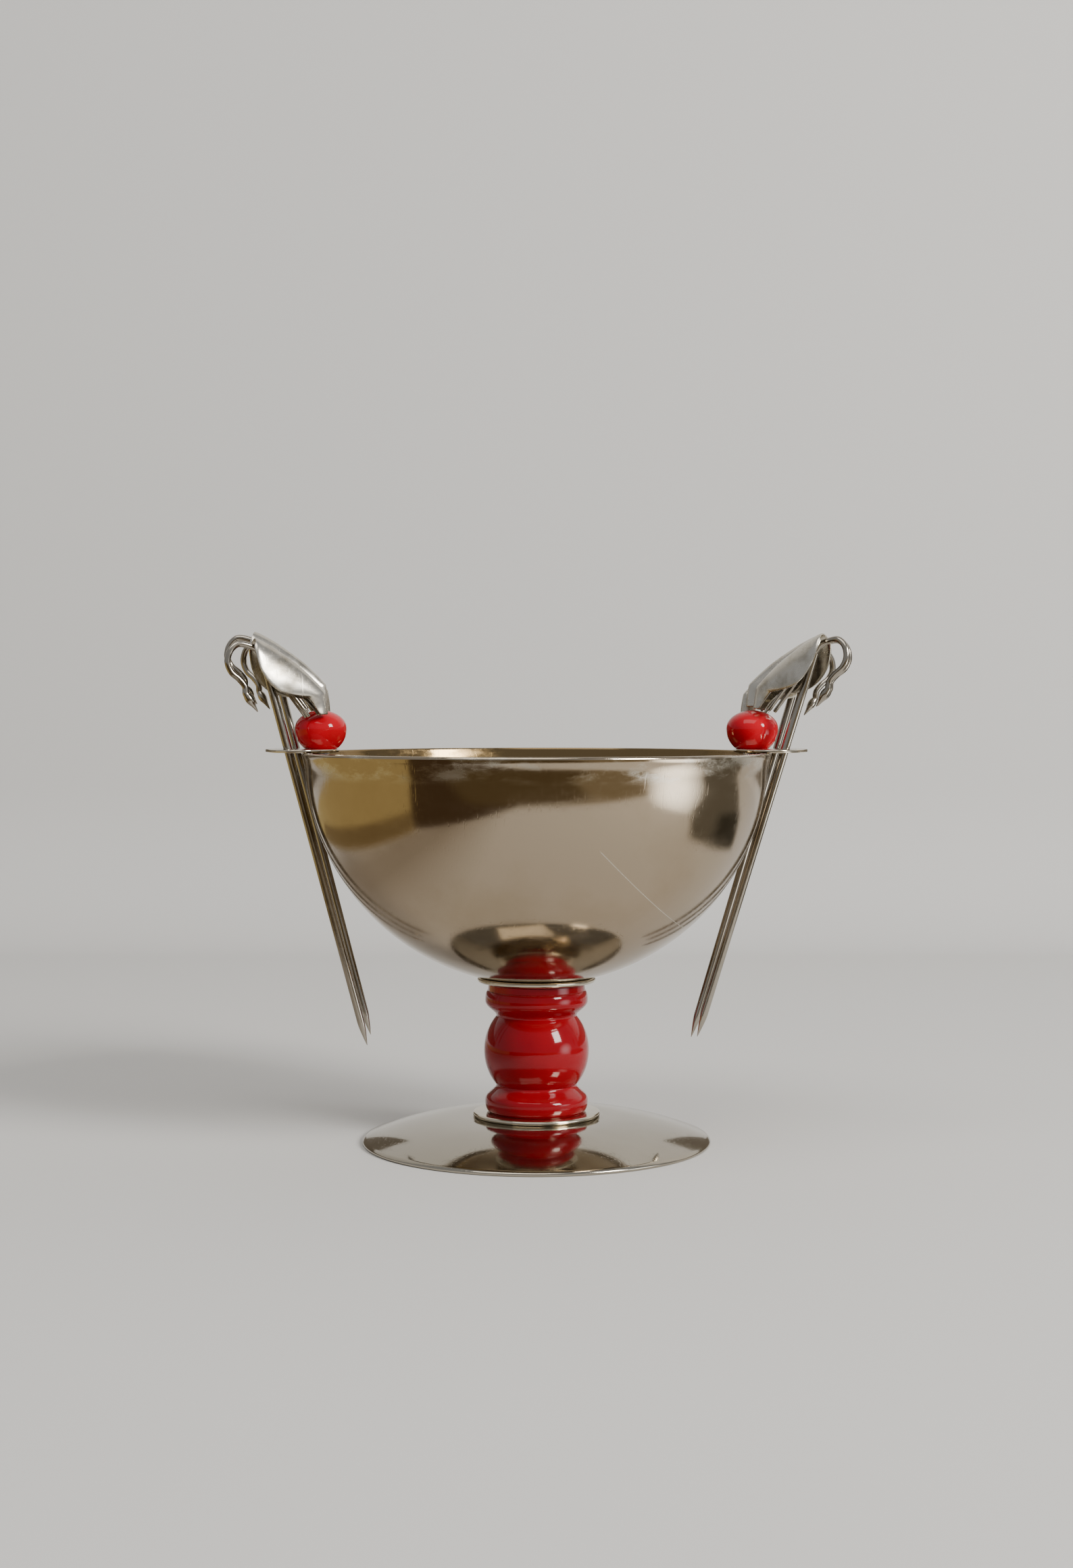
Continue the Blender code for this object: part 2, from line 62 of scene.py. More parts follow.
WELD = 0.0005 * MM
RELIEF = 0.1 * MM
Colour = tuple[float, float, float]
Spot = tuple[float, float, float]
Socket = bpy.types.NodeSocket
Outline = list[tuple[float, float]]


class Side(Enum):
    """Which end of the X axis an ear stands at."""

    LEFT = -1
    RIGHT = 1

    @property
    def word(self) -> str:
        """The side's word in node names."""
        return self.name.lower()


class Place(Enum):
    """Which hole of an ear a pick hangs in."""

    FRONT = -1
    MIDDLE = 0
    BACK = 1

    @property
    def word(self) -> str:
        """The place's word in node names."""
        return self.name.lower()


class NodeSheet:
    """A thin helper that adds nodes to a tree and links them."""

    def __init__(self, tree: bpy.types.NodeTree) -> None:
        """Keep the tree.

        Args:
            tree: the node tree to add to.
        """
        self.tree = tree

    def add(self, kind: str, **settings: object) -> bpy.types.Node:
        """Add a node and set its plain properties.

        Args:
            kind: the node's type name.
            settings: property names and values.

        Returns:
            The new node.
        """
        node = self.tree.nodes.new(kind)
        for name, value in settings.items():
            setattr(node, name, value)
        return node

    def link(self, source: Socket, target: Socket) -> None:
        """Link one socket to another."""
        self.tree.links.new(source, target)

    def feed(self, target: Socket, value: object) -> None:
        """Give an input a link if the value is a socket, or else a plain value."""
        if isinstance(value, Socket):
            self.link(value, target)
        else:
            target.default_value = value

    def wired(self, kind: str, inputs: dict[str, object], **settings: object) -> bpy.types.Node:
        """Add a node and feed its named inputs.

        Args:
            kind: the node's type name.
            inputs: input names, with a socket or a plain value for each.
            settings: property names and values.

        Returns:
            The new node.
        """
        node = self.add(kind, **settings)
        for name, value in inputs.items():
            self.feed(node.inputs[name], value)
        return node

    def maths(self, operation: str, first: object, second: object = 0.0) -> Socket:
        """Add a Math node.

        Args:
            operation: the Math operation.
            first: the first number or socket.
            second: the second number or socket.

        Returns:
            The result socket.
        """
        node = self.add("ShaderNodeMath", operation=operation)
        self.feed(node.inputs[0], first)
        self.feed(node.inputs[1], second)
        return node.outputs[0]

    def where(self) -> Socket:
        """Add the Object coordinates and return their socket."""
        return self.add("ShaderNodeTexCoord").outputs["Object"]

    def vector(self, operation: str, first: Socket, second: Spot | Vector = (0.0, 0.0, 0.0)) -> Socket:
        """Add a Vector Math node.

        Args:
            operation: the Vector Math operation.
            first: the first vector's socket.
            second: the second vector.

        Returns:
            The result socket: a number where the operation gives one, or else a vector.
        """
        node = self.add("ShaderNodeVectorMath", operation=operation)
        self.link(first, node.inputs[0])
        node.inputs[1].default_value = second
        gives_number = operation in ("DISTANCE", "DOT_PRODUCT", "LENGTH")
        return node.outputs["Value" if gives_number else "Vector"]

    def noise(self, vector: Socket, scale: float, detail: float = 4.0, rough: float = 0.55) -> Socket:
        """Add a Noise Texture.

        Args:
            vector: the coordinates.
            scale: features per metre, roughly.
            detail: octaves.
            rough: how strong the fine octaves are.

        Returns:
            The factor socket.
        """
        return self.wired("ShaderNodeTexNoise", {
            "Vector": vector, "Scale": scale, "Detail": detail, "Roughness": rough}).outputs["Fac"]

    def ramp(self, factor: Socket, low: float, high: float, start: float, end: float) -> Socket:
        """Map a factor from one range to another, clamped.

        Args:
            factor: the socket to map.
            low: the factor that gives start.
            high: the factor that gives end.
            start: the value at low.
            end: the value at high.

        Returns:
            The mapped socket.
        """
        return self.wired("ShaderNodeMapRange", {
            "Value": factor, "From Min": low, "From Max": high, "To Min": start,
            "To Max": end}).outputs["Result"]

    def blend(self, factor: Socket, first: Socket | Sequence[float],
              second: Socket | Sequence[float]) -> Socket:
        """Mix two colours by a factor.

        Args:
            factor: 0 gives the first colour and 1 the second.
            first: a colour, or a socket.
            second: a colour, or a socket.

        Returns:
            The colour socket.
        """
        node = self.add("ShaderNodeMix", data_type="RGBA")
        self.link(factor, node.inputs[0])
        self.feed(node.inputs[6], first)
        self.feed(node.inputs[7], second)
        return node.outputs[2]

    def stretched(self, vector: Socket, scale: Spot, turn: Spot = (0.0, 0.0, 0.0)) -> Socket:
        """Scale and turn coordinates, for a pattern longer one way than the other."""
        return self.wired("ShaderNodeMapping", {
            "Vector": vector, "Rotation": turn, "Scale": scale}).outputs["Vector"]

    def fade(self, cover: Socket, tone: Colour) -> None:
        """End a material with an even tone that shows by the cover and is clear elsewhere.

        Args:
            cover: 0 is clear and 1 shows the tone.
            tone: the tone's radiance.
        """
        self.tree.nodes.remove(self.tree.nodes["Principled BSDF"])
        clear = self.add("ShaderNodeBsdfTransparent").outputs[0]
        shine = self.wired("ShaderNodeEmission", {"Color": (*tone, 1.0)})
        mix = self.add("ShaderNodeMixShader")
        for value, target in zip((cover, clear, shine.outputs[0]), mix.inputs):
            self.link(value, target)
        self.link(mix.outputs[0], self.tree.nodes["Material Output"].inputs["Surface"])

    def bump(self, height: Socket, strength: float, distance: float) -> Socket:
        """Add a Bump node and return its normal socket."""
        return self.wired("ShaderNodeBump", {
            "Strength": strength, "Distance": distance, "Height": height}).outputs["Normal"]


@dataclass(frozen=True)
class Finish:
    """Base of the finishes: a named node material whose patterns read Object coordinates."""

    name: str

    def material(self) -> bpy.types.Material:
        """Build the finish as a node material.

        Returns:
            The material.
        """
        material = bpy.data.materials.new(self.name)
        material.use_nodes = True
        self.dress(NodeSheet(material.node_tree), material.node_tree.nodes["Principled BSDF"])
        return material

    def dress(self, sheet: NodeSheet, shader: bpy.types.Node) -> None:
        """Fill in the material's nodes; each finish has its own way."""
        raise NotImplementedError


@dataclass(frozen=True)
class Plate(Finish):
    """A polished or worn metal finish with smudges, fine scratches and tarnish."""

    colour: Colour
    tarnish: Colour
    polish: float
    smudge: float
    tarnish_amount: float = 0.5
    patch_size: float = 16 * MM
    scratch_depth: float = 0.004 * MM
    dent_depth: float = 0.0
    wave_depth: float = 0.0
    dent_scale: float = 420.0
    wave_scale: float = 70.0

    def dress(self, sheet: NodeSheet, shader: bpy.types.Node) -> None:
        """Mix clean and tarnished metal, and dull and dent its surface."""
        where = sheet.where()
        patches = sheet.noise(where, 1 / self.patch_size, 5.0, 0.6)
        stains = sheet.ramp(patches, 0.48, 0.72, 0.0, self.tarnish_amount)
        tone = sheet.blend(stains, (*self.colour, 1.0), (*self.tarnish, 1.0))
        shader.inputs["Metallic"].default_value = 1.0
        wipes = sheet.noise(sheet.stretched(where, (1.0, 1.0, 3.5), (0.3, 0.5, 0.0)), 140.0, 6.0, 0.7)
        hairs = sheet.noise(sheet.stretched(where, (1.0, 1.0, 0.04), (0.9, 0.35, 0.4)), 2600.0, 2.0, 0.5)
        marks = sheet.ramp(hairs, 0.60, 0.74, 0.0, 1.0)
        haze = sheet.ramp(wipes, 0.42, 0.75, self.polish, self.smudge)
        haze = sheet.maths("ADD", haze, sheet.maths("MULTIPLY", marks, self.smudge * 0.25))
        tone, haze = self.wear(sheet, where, tone, haze)
        sheet.link(tone, shader.inputs["Base Color"])
        sheet.link(haze, shader.inputs["Roughness"])
        relief = sheet.maths("MULTIPLY", marks, -self.scratch_depth / RELIEF)
        for depth, scale in ((self.dent_depth, self.dent_scale), (self.wave_depth, self.wave_scale)):
            if depth:
                bumps = sheet.noise(where, scale, 2.0, 0.4)
                relief = sheet.maths("ADD", relief, sheet.maths("MULTIPLY", bumps, depth / RELIEF))
        sheet.link(sheet.bump(relief, 1.0, RELIEF), shader.inputs["Normal"])

    def wear(self, sheet: NodeSheet, where: Socket, tone: Socket, haze: Socket) -> tuple[Socket, Socket]:
        """What a kind of plate adds to the colour and the roughness so far: nothing here."""
        return tone, haze


@dataclass(frozen=True)
class ShadedGiltBowlPlate(Plate):
    """The bowl's plate: a dark gold inside, with painted shade, a pale band under the rim that is a painted
    reflection, and one long scratch.
    """

    # The inside's colour: a gold wash darkened with painted shade for the bowl's hollow.
    gilt_and_shade: Colour = (0.22, 0.15, 0.07)
    # The pale colour of the band under the rim, a painted reflection, and of the scratch's bare metal.
    rubbed: Colour = (0.60, 0.56, 0.48)
    band_and_scratch_haze: float = 0.22
    gilt_and_shade_reach: float = 40.03 * MM
    rim: float = 67.8 * MM
    band_low: float = 4.5 * MM
    band_high: float = 3.0 * MM
    scratch_from: Spot = (0.25, -0.90, -0.37)
    scratch_to: Spot = (0.62, -0.28, -0.73)

    def wear(self, sheet: NodeSheet, where: Socket, tone: Socket, haze: Socket) -> tuple[Socket, Socket]:
        """Show pale dull metal in the band under the rim, a painted reflection, and in the scratch, and the
        darker gold tone inside the bowl, a painted shade.

        Args:
            sheet: the material's nodes.
            where: the coordinates.
            tone: the colour so far.
            haze: the roughness so far.

        Returns:
            The colour and the roughness.
        """
        # Painted reflection: a pale streaked band under the rim; the long scratch shares its colour.
        reflection_and_scratch = sheet.maths("MAXIMUM", self.rim_painted_reflection(sheet, where), self.long_scratch(sheet, where))
        tone = sheet.blend(reflection_and_scratch, tone, (*self.rubbed, 1.0))
        # Painted shade: the inside of the bowl takes the darker gold tone.
        reach = sheet.vector("DISTANCE", where, (0.0, 0.0, self.rim))
        inside = sheet.ramp(reach, self.gilt_and_shade_reach, self.gilt_and_shade_reach + 0.05 * MM, 1.0, 0.0)
        tone = sheet.blend(inside, tone, (*self.gilt_and_shade, 1.0))
        return tone, sheet.maths("ADD", haze, sheet.maths("MULTIPLY", reflection_and_scratch, self.band_and_scratch_haze))

    def rim_painted_reflection(self, sheet: NodeSheet, where: Socket) -> Socket:
        """Pale streaks in a band just under the rim: a painted reflection of the lip.

        Args:
            sheet: the material's nodes.
            where: the coordinates.

        Returns:
            How much painted reflection each spot takes.
        """
        height = sheet.vector("DOT_PRODUCT", where, (0.0, 0.0, 1.0))
        band = sheet.ramp(height, self.rim - self.band_low, self.rim - self.band_high, 0.0, 1.0)
        streaks = sheet.noise(sheet.stretched(where, (1.0, 1.0, 2.5)), 110.0, 6.0, 0.7)
        return sheet.maths("MULTIPLY", band, sheet.ramp(streaks, 0.46, 0.62, 0.0, 0.8))

    def long_scratch(self, sheet: NodeSheet, where: Socket) -> Socket:
        """One hair-thin scratch along the bowl between two directions from its middle.

        Args:
            sheet: the material's nodes.
            where: the coordinates.

        Returns:
            How deep the scratch is at each spot.
        """
        first, last = Vector(self.scratch_from).normalized(), Vector(self.scratch_to).normalized()
        middle = (first + last).normalized()
        from_middle = sheet.vector("SUBTRACT", where, (0.0, 0.0, self.rim))
        off_line = sheet.maths("ABSOLUTE", sheet.vector(
            "DOT_PRODUCT", from_middle, first.cross(last).normalized()))
        along = sheet.vector("DOT_PRODUCT", from_middle, middle)
        end = self.gilt_and_shade_reach * middle.dot(first)
        line = sheet.ramp(off_line, 0.03 * MM, 0.12 * MM, 0.7, 0.0)
        return sheet.maths("MULTIPLY", line, sheet.ramp(along, end, end + 0.3 * MM, 0.0, 1.0))


@dataclass(frozen=True)
class Lacquer(Finish):
    """A deep gloss coloured finish over turned wood."""

    colour: Colour
    shade: Colour
    gloss: float = 0.09

    def dress(self, sheet: NodeSheet, shader: bpy.types.Node) -> None:
        """Cloud the colour a little and lay a clear coat over it."""
        where = sheet.where()
        clouds = sheet.ramp(sheet.noise(where, 120.0, 3.0), 0.35, 0.70, 0.0, 1.0)
        tone = sheet.blend(clouds, (*self.colour, 1.0), (*self.shade, 1.0))
        sheet.link(tone, shader.inputs["Base Color"])
        rubbed = sheet.noise(where, 380.0, 3.0, 0.5)
        haze = sheet.ramp(rubbed, 0.45, 0.75, self.gloss, self.gloss * 1.3)
        sheet.link(haze, shader.inputs["Roughness"])
        shader.inputs["Specular IOR Level"].default_value = 0.2
        shader.inputs["Coat Weight"].default_value = 0.25
        shader.inputs["Coat Roughness"].default_value = 0.04
        shader.inputs["Coat IOR"].default_value = 1.45


@dataclass(frozen=True)
class Paint(Finish):
    """A plain matt finish for the stage."""

    colour: Colour

    def dress(self, sheet: NodeSheet, shader: bpy.types.Node) -> None:
        """Set the colour and a dull surface."""
        shader.inputs["Base Color"].default_value = (*self.colour, 1.0)
        shader.inputs["Roughness"].default_value = 0.85
        shader.inputs["Specular IOR Level"].default_value = 0.2


@dataclass(frozen=True)
class SoftCard(Finish):
    """A flat card close over the floor with soft edges, which only polished surfaces see.

    The outline runs counter-clockwise seen from above, and is convex.
    """

    tone: Colour
    outline: tuple[tuple[float, float], ...]
    softness: float = 12 * MM
    height: float = 1 * MM
    strength: float = 1.0

    @property
    def corners(self) -> list[Spot]:
        """The card's corners in order."""
        return [(x, y, self.height) for x, y in self.outline]

    def dress(self, sheet: NodeSheet, shader: bpy.types.Node) -> None:
        """Give the card an even tone that fades out towards each edge."""
        where = sheet.where()
        cover = self.strength
        for start, end in zip(self.outline, self.outline[1:] + self.outline[:1]):
            run = (Vector(end) - Vector(start)).normalized()
            inward = (-run.y, run.x, 0.0)
            edge = inward[0] * start[0] + inward[1] * start[1]
            reach = sheet.vector("DOT_PRODUCT", where, inward)
            share = sheet.ramp(reach, edge, edge + self.softness, 0.0, 1.0)
            cover = sheet.maths("MULTIPLY", share, cover)
        sheet.fade(cover, self.tone)


@dataclass(frozen=True)
class SoftWindow(Finish):
    """An upright glowing card with an oval, faded outline."""

    tone: Colour
    centre: Spot
    facing: tuple[float, float]
    half_width: float
    half_height: float

    @property
    def corners(self) -> list[Spot]:
        """The card's corners in order."""
        ahead = Vector(self.facing).normalized()
        side = Vector((-ahead.y, ahead.x, 0.0)) * self.half_width
        rise = Vector((0.0, 0.0, self.half_height))
        middle = Vector(self.centre)
        return [tuple(middle + side * a + rise * b) for a, b in ((-1, -1), (1, -1), (1, 1), (-1, 1))]

    def dress(self, sheet: NodeSheet, shader: bpy.types.Node) -> None:
        """Give the card a glow that is strongest in the middle."""
        from_middle = sheet.vector("SUBTRACT", sheet.where(), self.centre)
        sized = sheet.vector("MULTIPLY", from_middle,
                             (1 / self.half_width, 1 / self.half_width, 1 / self.half_height))
        sheet.fade(sheet.ramp(sheet.vector("LENGTH", sized), 0.25, 1.0, 1.0, 0.0), self.tone)


BOWL_PLATE = ShadedGiltBowlPlate("bowl_plate", (0.40, 0.325, 0.235), (0.33, 0.255, 0.165), 0.10, 0.18, 0.7,
                           22 * MM, wave_depth=0.03 * MM)
FOOT_PLATE = Plate("foot_plate", (0.40, 0.365, 0.30), (0.33, 0.29, 0.225), 0.07, 0.15, 0.6, 18 * MM,
                   wave_depth=0.02 * MM)
EDGE_PLATE = Plate("edge_plate", (0.62, 0.56, 0.45), (0.46, 0.40, 0.29), 0.10, 0.20, 0.6, 6 * MM)
NICKEL_SILVER = Plate("nickel_silver", (0.60, 0.565, 0.49), (0.24, 0.205, 0.14), 0.20, 0.34, 0.75,
                      4.5 * MM, 0.003 * MM, 0.008 * MM)
DRAWN_WIRE = Plate("drawn_wire", (0.39, 0.355, 0.30), (0.22, 0.19, 0.14), 0.14, 0.24, 0.6, 9 * MM,
                   0.002 * MM)
BRIGHT_STEEL = Plate("bright_steel", (0.60, 0.59, 0.57), (0.42, 0.40, 0.37), 0.22, 0.36, 0.6, 4 * MM)
RED_LACQUER = Lacquer("red_lacquer", (0.50, 0.0008, 0.012), (0.42, 0.0006, 0.009))
# A darker copy of the red lacquer for the stem: painted shade, for the stem standing under the bowl.
SHADED_STEM_LACQUER = Lacquer("stem_lacquer_painted_shade", (0.27, 0.0006, 0.006), (0.21, 0.0005, 0.005))


class MeshTools:
    """Makes plain meshes and turns Geometry Nodes results into plain meshes."""

    @staticmethod
    def from_bmesh(name: str, work: bmesh.types.BMesh) -> bpy.types.Mesh:
        """Store a bmesh in a new mesh, with its normals pointing out, and free it."""
        bmesh.ops.recalc_face_normals(work, faces=work.faces)
        mesh = bpy.data.meshes.new(name)
        work.to_mesh(mesh)
        work.free()
        return mesh

    @staticmethod
    def path(name: str, points: Sequence[Vector],
             radii: Sequence[float] | None = None) -> bpy.types.Mesh:
        """A mesh of one open run of edges, with a radius on each point if given.

        Args:
            name: the mesh's name.
            points: the run's points.
            radii: a radius for each point.

        Returns:
            The mesh.
        """
        mesh = bpy.data.meshes.new(name)
        mesh.from_pydata([tuple(p) for p in points], [(i, i + 1) for i in range(len(points) - 1)], [])
        if radii is not None:
            layer = mesh.attributes.new("wire_radius", "FLOAT", "POINT")
            for item, radius in zip(layer.data, radii):
                item.value = radius
        return mesh

    @staticmethod
    def object_of(data: bpy.types.ID) -> bpy.types.Object:
        """Add an object for a mesh, a curve, a light or a camera to the scene."""
        item = bpy.data.objects.new(data.name, data)
        bpy.context.scene.collection.objects.link(item)
        return item

    @staticmethod
    def evaluated(item: bpy.types.Object) -> bpy.types.Mesh:
        """A new mesh, under the object's name, of the object as it stands with its modifiers."""
        graph = bpy.context.evaluated_depsgraph_get()
        graph.update()
        mesh = bpy.data.meshes.new_from_object(item.evaluated_get(graph))
        mesh.name = item.name
        return mesh

    @staticmethod
    def bake(item: bpy.types.Object, angle: float = 35.0) -> bpy.types.Object:
        """Apply an object's modifiers, weld it and shade it smooth with sharp edges.

        Args:
            item: the object.
            angle: faces that meet at more than this many degrees keep a sharp edge.

        Returns:
            The same object, with a plain mesh.
        """
        mesh = MeshTools.evaluated(item)
        item.modifiers.clear()
        item.data = mesh
        work = bmesh.new()
        work.from_mesh(mesh)
        bmesh.ops.remove_doubles(work, verts=work.verts, dist=0.8 * WELD)
        bmesh.ops.dissolve_degenerate(work, edges=work.edges, dist=0.4 * WELD)
        bmesh.ops.recalc_face_normals(work, faces=work.faces)
        work.to_mesh(mesh)
        work.free()
        mesh.shade_smooth()
        mesh.set_sharp_from_angle(angle=math.radians(angle))
        return item

    @staticmethod
    def cut(item: bpy.types.Object, cutter: bpy.types.Object, operation: str, angle: float) -> None:
        """Shape an object with another one, which is then removed.

        Args:
            item: the object to shape.
            cutter: the object that shapes it.
            operation: DIFFERENCE to take the cutter away, INTERSECT to keep what is in both.
            angle: the sharp edge's angle, as for bake.
        """
        boolean = item.modifiers.new("Cut", "BOOLEAN")
        boolean.operation = operation
        boolean.object = cutter
        MeshTools.bake(item, angle)
        bpy.data.objects.remove(cutter, do_unlink=True)

    @staticmethod
    def run_tree(item: bpy.types.Object, tree: bpy.types.NodeTree,
                 inputs: dict[str, object]) -> bpy.types.Object:
        """Run a Geometry Nodes tree on an object and keep the result as a plain mesh.

        Args:
            item: the object that holds the tree's input geometry.
            tree: the node group.
            inputs: input names and values.

        Returns:
            The same object, with the result as its mesh.
        """
        modifier = item.modifiers.new(tree.name, "NODES")
        modifier.node_group = tree
        for socket in tree.interface.items_tree:
            if getattr(socket, "in_out", "") == "INPUT" and socket.name in inputs:
                modifier[socket.identifier] = inputs[socket.name]
        return MeshTools.bake(item)


class GeometryTree:
    """Base of the Geometry Nodes trees: one group with named inputs."""

    def __init__(self, name: str, inputs: Sequence[tuple[str, str, object]]) -> None:
        """Start the group.

        Args:
            name: the group's name.
            inputs: name, socket type and first value of each input after the geometry.
        """
        self.tree = bpy.data.node_groups.new(name, "GeometryNodeTree")
        face = self.tree.interface
        face.new_socket("Geometry", in_out="INPUT", socket_type="NodeSocketGeometry")
        for label, kind, value in inputs:
            socket = face.new_socket(label, in_out="INPUT", socket_type=kind)
            if value is not None:
                socket.default_value = value
        face.new_socket("Geometry", in_out="OUTPUT", socket_type="NodeSocketGeometry")
        self.sheet = NodeSheet(self.tree)
        self.given = self.sheet.add("NodeGroupInput")
        self.result = self.sheet.add("NodeGroupOutput")

    def close(self, geometry: Socket) -> None:
        """End the tree: realise instances, set the material, and output."""
        realise = self.sheet.wired("GeometryNodeRealizeInstances", {"Geometry": geometry})
        paint = self.sheet.wired("GeometryNodeSetMaterial", {
            "Geometry": realise.outputs["Geometry"], "Material": self.given.outputs["Material"]})
        self.sheet.link(paint.outputs["Geometry"], self.result.inputs["Geometry"])


class LatheTree(GeometryTree):
    """Turns a profile in the XZ plane round the Z axis, like work on a lathe."""

    def __init__(self) -> None:
        """Build the tree."""
        super().__init__("lathe", (
            ("Steps", "NodeSocketInt", 128), ("Points", "NodeSocketInt", 2),
            ("Material", "NodeSocketMaterial", None)))
        sheet, given = self.sheet, self.given.outputs
        grid = sheet.wired("GeometryNodeMeshGrid", {
            "Vertices X": sheet.maths("ADD", given["Steps"], 1.0), "Vertices Y": given["Points"]})
        index = sheet.add("GeometryNodeInputIndex").outputs["Index"]
        nudged = sheet.maths("ADD", index, 0.01)
        turn = sheet.maths("FLOOR", sheet.maths("DIVIDE", nudged, given["Points"]))
        along = sheet.maths("SUBTRACT", index, sheet.maths("MULTIPLY", turn, given["Points"]))
        angle = sheet.maths("MULTIPLY", sheet.maths("DIVIDE", turn, given["Steps"]), math.tau)
        sample = sheet.add("GeometryNodeSampleIndex", data_type="FLOAT_VECTOR", domain="POINT")
        sheet.link(given["Geometry"], sample.inputs["Geometry"])
        sheet.link(along, sample.inputs["Index"])
        value = next(s for s in sample.inputs if s.name == "Value" and s.type == "VECTOR" and s.enabled)
        sheet.link(sheet.add("GeometryNodeInputPosition").outputs["Position"], value)
        found = next(s for s in sample.outputs if s.enabled)
        split = sheet.wired("ShaderNodeSeparateXYZ", {"Vector": found})
        radius, height = split.outputs["X"], split.outputs["Z"]
        place = sheet.wired("ShaderNodeCombineXYZ", {
            "X": sheet.maths("MULTIPLY", radius, sheet.maths("COSINE", angle)),
            "Y": sheet.maths("MULTIPLY", radius, sheet.maths("SINE", angle)), "Z": height})
        move = sheet.wired("GeometryNodeSetPosition", {
            "Geometry": grid.outputs["Mesh"], "Position": place.outputs["Vector"]})
        weld = sheet.wired("GeometryNodeMergeByDistance", {
            "Geometry": move.outputs["Geometry"], "Distance": WELD})
        self.close(weld.outputs["Geometry"])


class WireTree(GeometryTree):
    """Sweeps a round section along a path, with the path's own radius at each point."""

    def __init__(self) -> None:
        """Build the tree."""
        super().__init__("drawn_wire", (
            ("Sides", "NodeSocketInt", 24), ("Material", "NodeSocketMaterial", None)))
        sheet, given = self.sheet, self.given.outputs
        curve = sheet.wired("GeometryNodeMeshToCurve", {"Mesh": given["Geometry"]})
        stored = sheet.wired("GeometryNodeInputNamedAttribute", {"Name": "wire_radius"}, data_type="FLOAT")
        radius = next(s for s in stored.outputs if s.enabled and s.name == "Attribute")
        sized = sheet.wired("GeometryNodeSetCurveRadius", {"Curve": curve.outputs["Curve"], "Radius": radius})
        ring = sheet.wired("GeometryNodeCurvePrimitiveCircle", {"Resolution": given["Sides"]})
        ring.inputs["Radius"].default_value = 1.0
        sweep = sheet.wired("GeometryNodeCurveToMesh", {
            "Curve": sized.outputs["Curve"], "Profile Curve": ring.outputs["Curve"], "Fill Caps": True})
        if "Scale" in sweep.inputs:
            sheet.link(radius, sweep.inputs["Scale"])
        self.close(sweep.outputs["Mesh"])


class Workshop:
    """Holds the shared trees and finishes, and puts finished pieces on their bodies."""

    def __init__(self) -> None:
        """Build the trees and the materials once."""
        self.lathe = LatheTree()
        self.wire = WireTree()
        finishes = (BOWL_PLATE, FOOT_PLATE, EDGE_PLATE, NICKEL_SILVER, DRAWN_WIRE, BRIGHT_STEEL,
                    RED_LACQUER, SHADED_STEM_LACQUER)
        self.materials = {finish.name: finish.material() for finish in finishes}

    def turned(self, name: str, outline: Outline, finish: Plate | Lacquer, steps: int = 160,
               centre: tuple[float, float] = (0.0, 0.0)) -> bpy.types.Object:
        """Turn an outline into a solid.

        Args:
            name: the piece's name.
            outline: radius and height pairs, in order round the section.
            finish: the surface finish.
            steps: facets round the axis.
            centre: where the axis stands.

        Returns:
            The piece.
        """
        points = [Vector((radius, 0.0, height)) for radius, height in outline]
        if outline[0][0] > 0 or outline[-1][0] > 0:
            points.append(points[0])
        item = MeshTools.object_of(MeshTools.path(name, points))
        MeshTools.run_tree(item, self.lathe.tree, {
            "Steps": steps, "Points": len(points), "Material": self.materials[finish.name]})
        item.data.transform(Matrix.Translation((*centre, 0.0)))
        return item

    def drawn(self, name: str, points: Sequence[Vector], radii: Sequence[float], finish: Plate,
              place: Matrix, sides: int = 20) -> bpy.types.Object:
        """Sweep a round wire along points.

        Args:
            name: the piece's name.
            points: the wire's centre line.
            radii: the radius at each point.
            finish: the surface finish.
            place: the frame that the points are given in.
            sides: facets round the wire.

        Returns:
            The piece.
        """
        item = MeshTools.object_of(MeshTools.path(name, [place @ p for p in points], radii))
        return MeshTools.run_tree(item, self.wire.tree, {
            "Sides": sides, "Material": self.materials[finish.name]})

    def coat(self, mesh: bpy.types.Mesh, finish: Finish) -> None:
        """Give a mesh one of the shop's finishes, and no other."""
        mesh.materials.clear()
        mesh.materials.append(self.materials[finish.name])

    def seat(self, piece: bpy.types.Object, body: str, node: str, slot: str) -> bpy.types.Object:
        """Let a piece stand for a CAD node and ride on its body.

        Args:
            piece: the finished piece.
            body: the body's name.
            node: the CAD node that it replaces.
            slot: the record's material slot; not used.

        Returns:
            The same piece.
        """
        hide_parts(node)
        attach(piece, body)
        LOG.info("%s rides on %s, %d faces", piece.name, body, len(piece.data.polygons))
        return piece


def even_steps(start: float, end: float, count: int) -> list[float]:
    """Evenly spaced values from start to end, with count steps between them."""
    return [start + (end - start) * index / count for index in range(count + 1)]


def arc(centre: tuple[float, float], radius: float, start: float, end: float, count: int) -> Outline:
    """Points on an arc, with angles in degrees from the outward direction."""
    angles = [math.radians(degrees) for degrees in even_steps(start, end, count)]
    return [(centre[0] + radius * math.cos(a), centre[1] + radius * math.sin(a)) for a in angles]


def smooth_path(knots: Sequence[Vector], count: int) -> list[Vector]:
    """Points on a smooth curve through knots.

    Args:
        knots: the points to pass through.
        count: steps between two knots.

    Returns:
        The curve's points.
    """
    ends = [knots[0] * 2 - knots[1], *knots, knots[-1] * 2 - knots[-2]]
    points = []
    for index in range(1, len(ends) - 2):
        before, start, end, after = ends[index - 1:index + 3]
        for step in range(count):
            t = step / count
            points.append(0.5 * (2 * start + (end - before) * t
                                 + (2 * before - 5 * start + 4 * end - after) * t ** 2
                                 + (3 * start - before - 3 * end + after) * t ** 3))
    points.append(knots[-1])
    return points


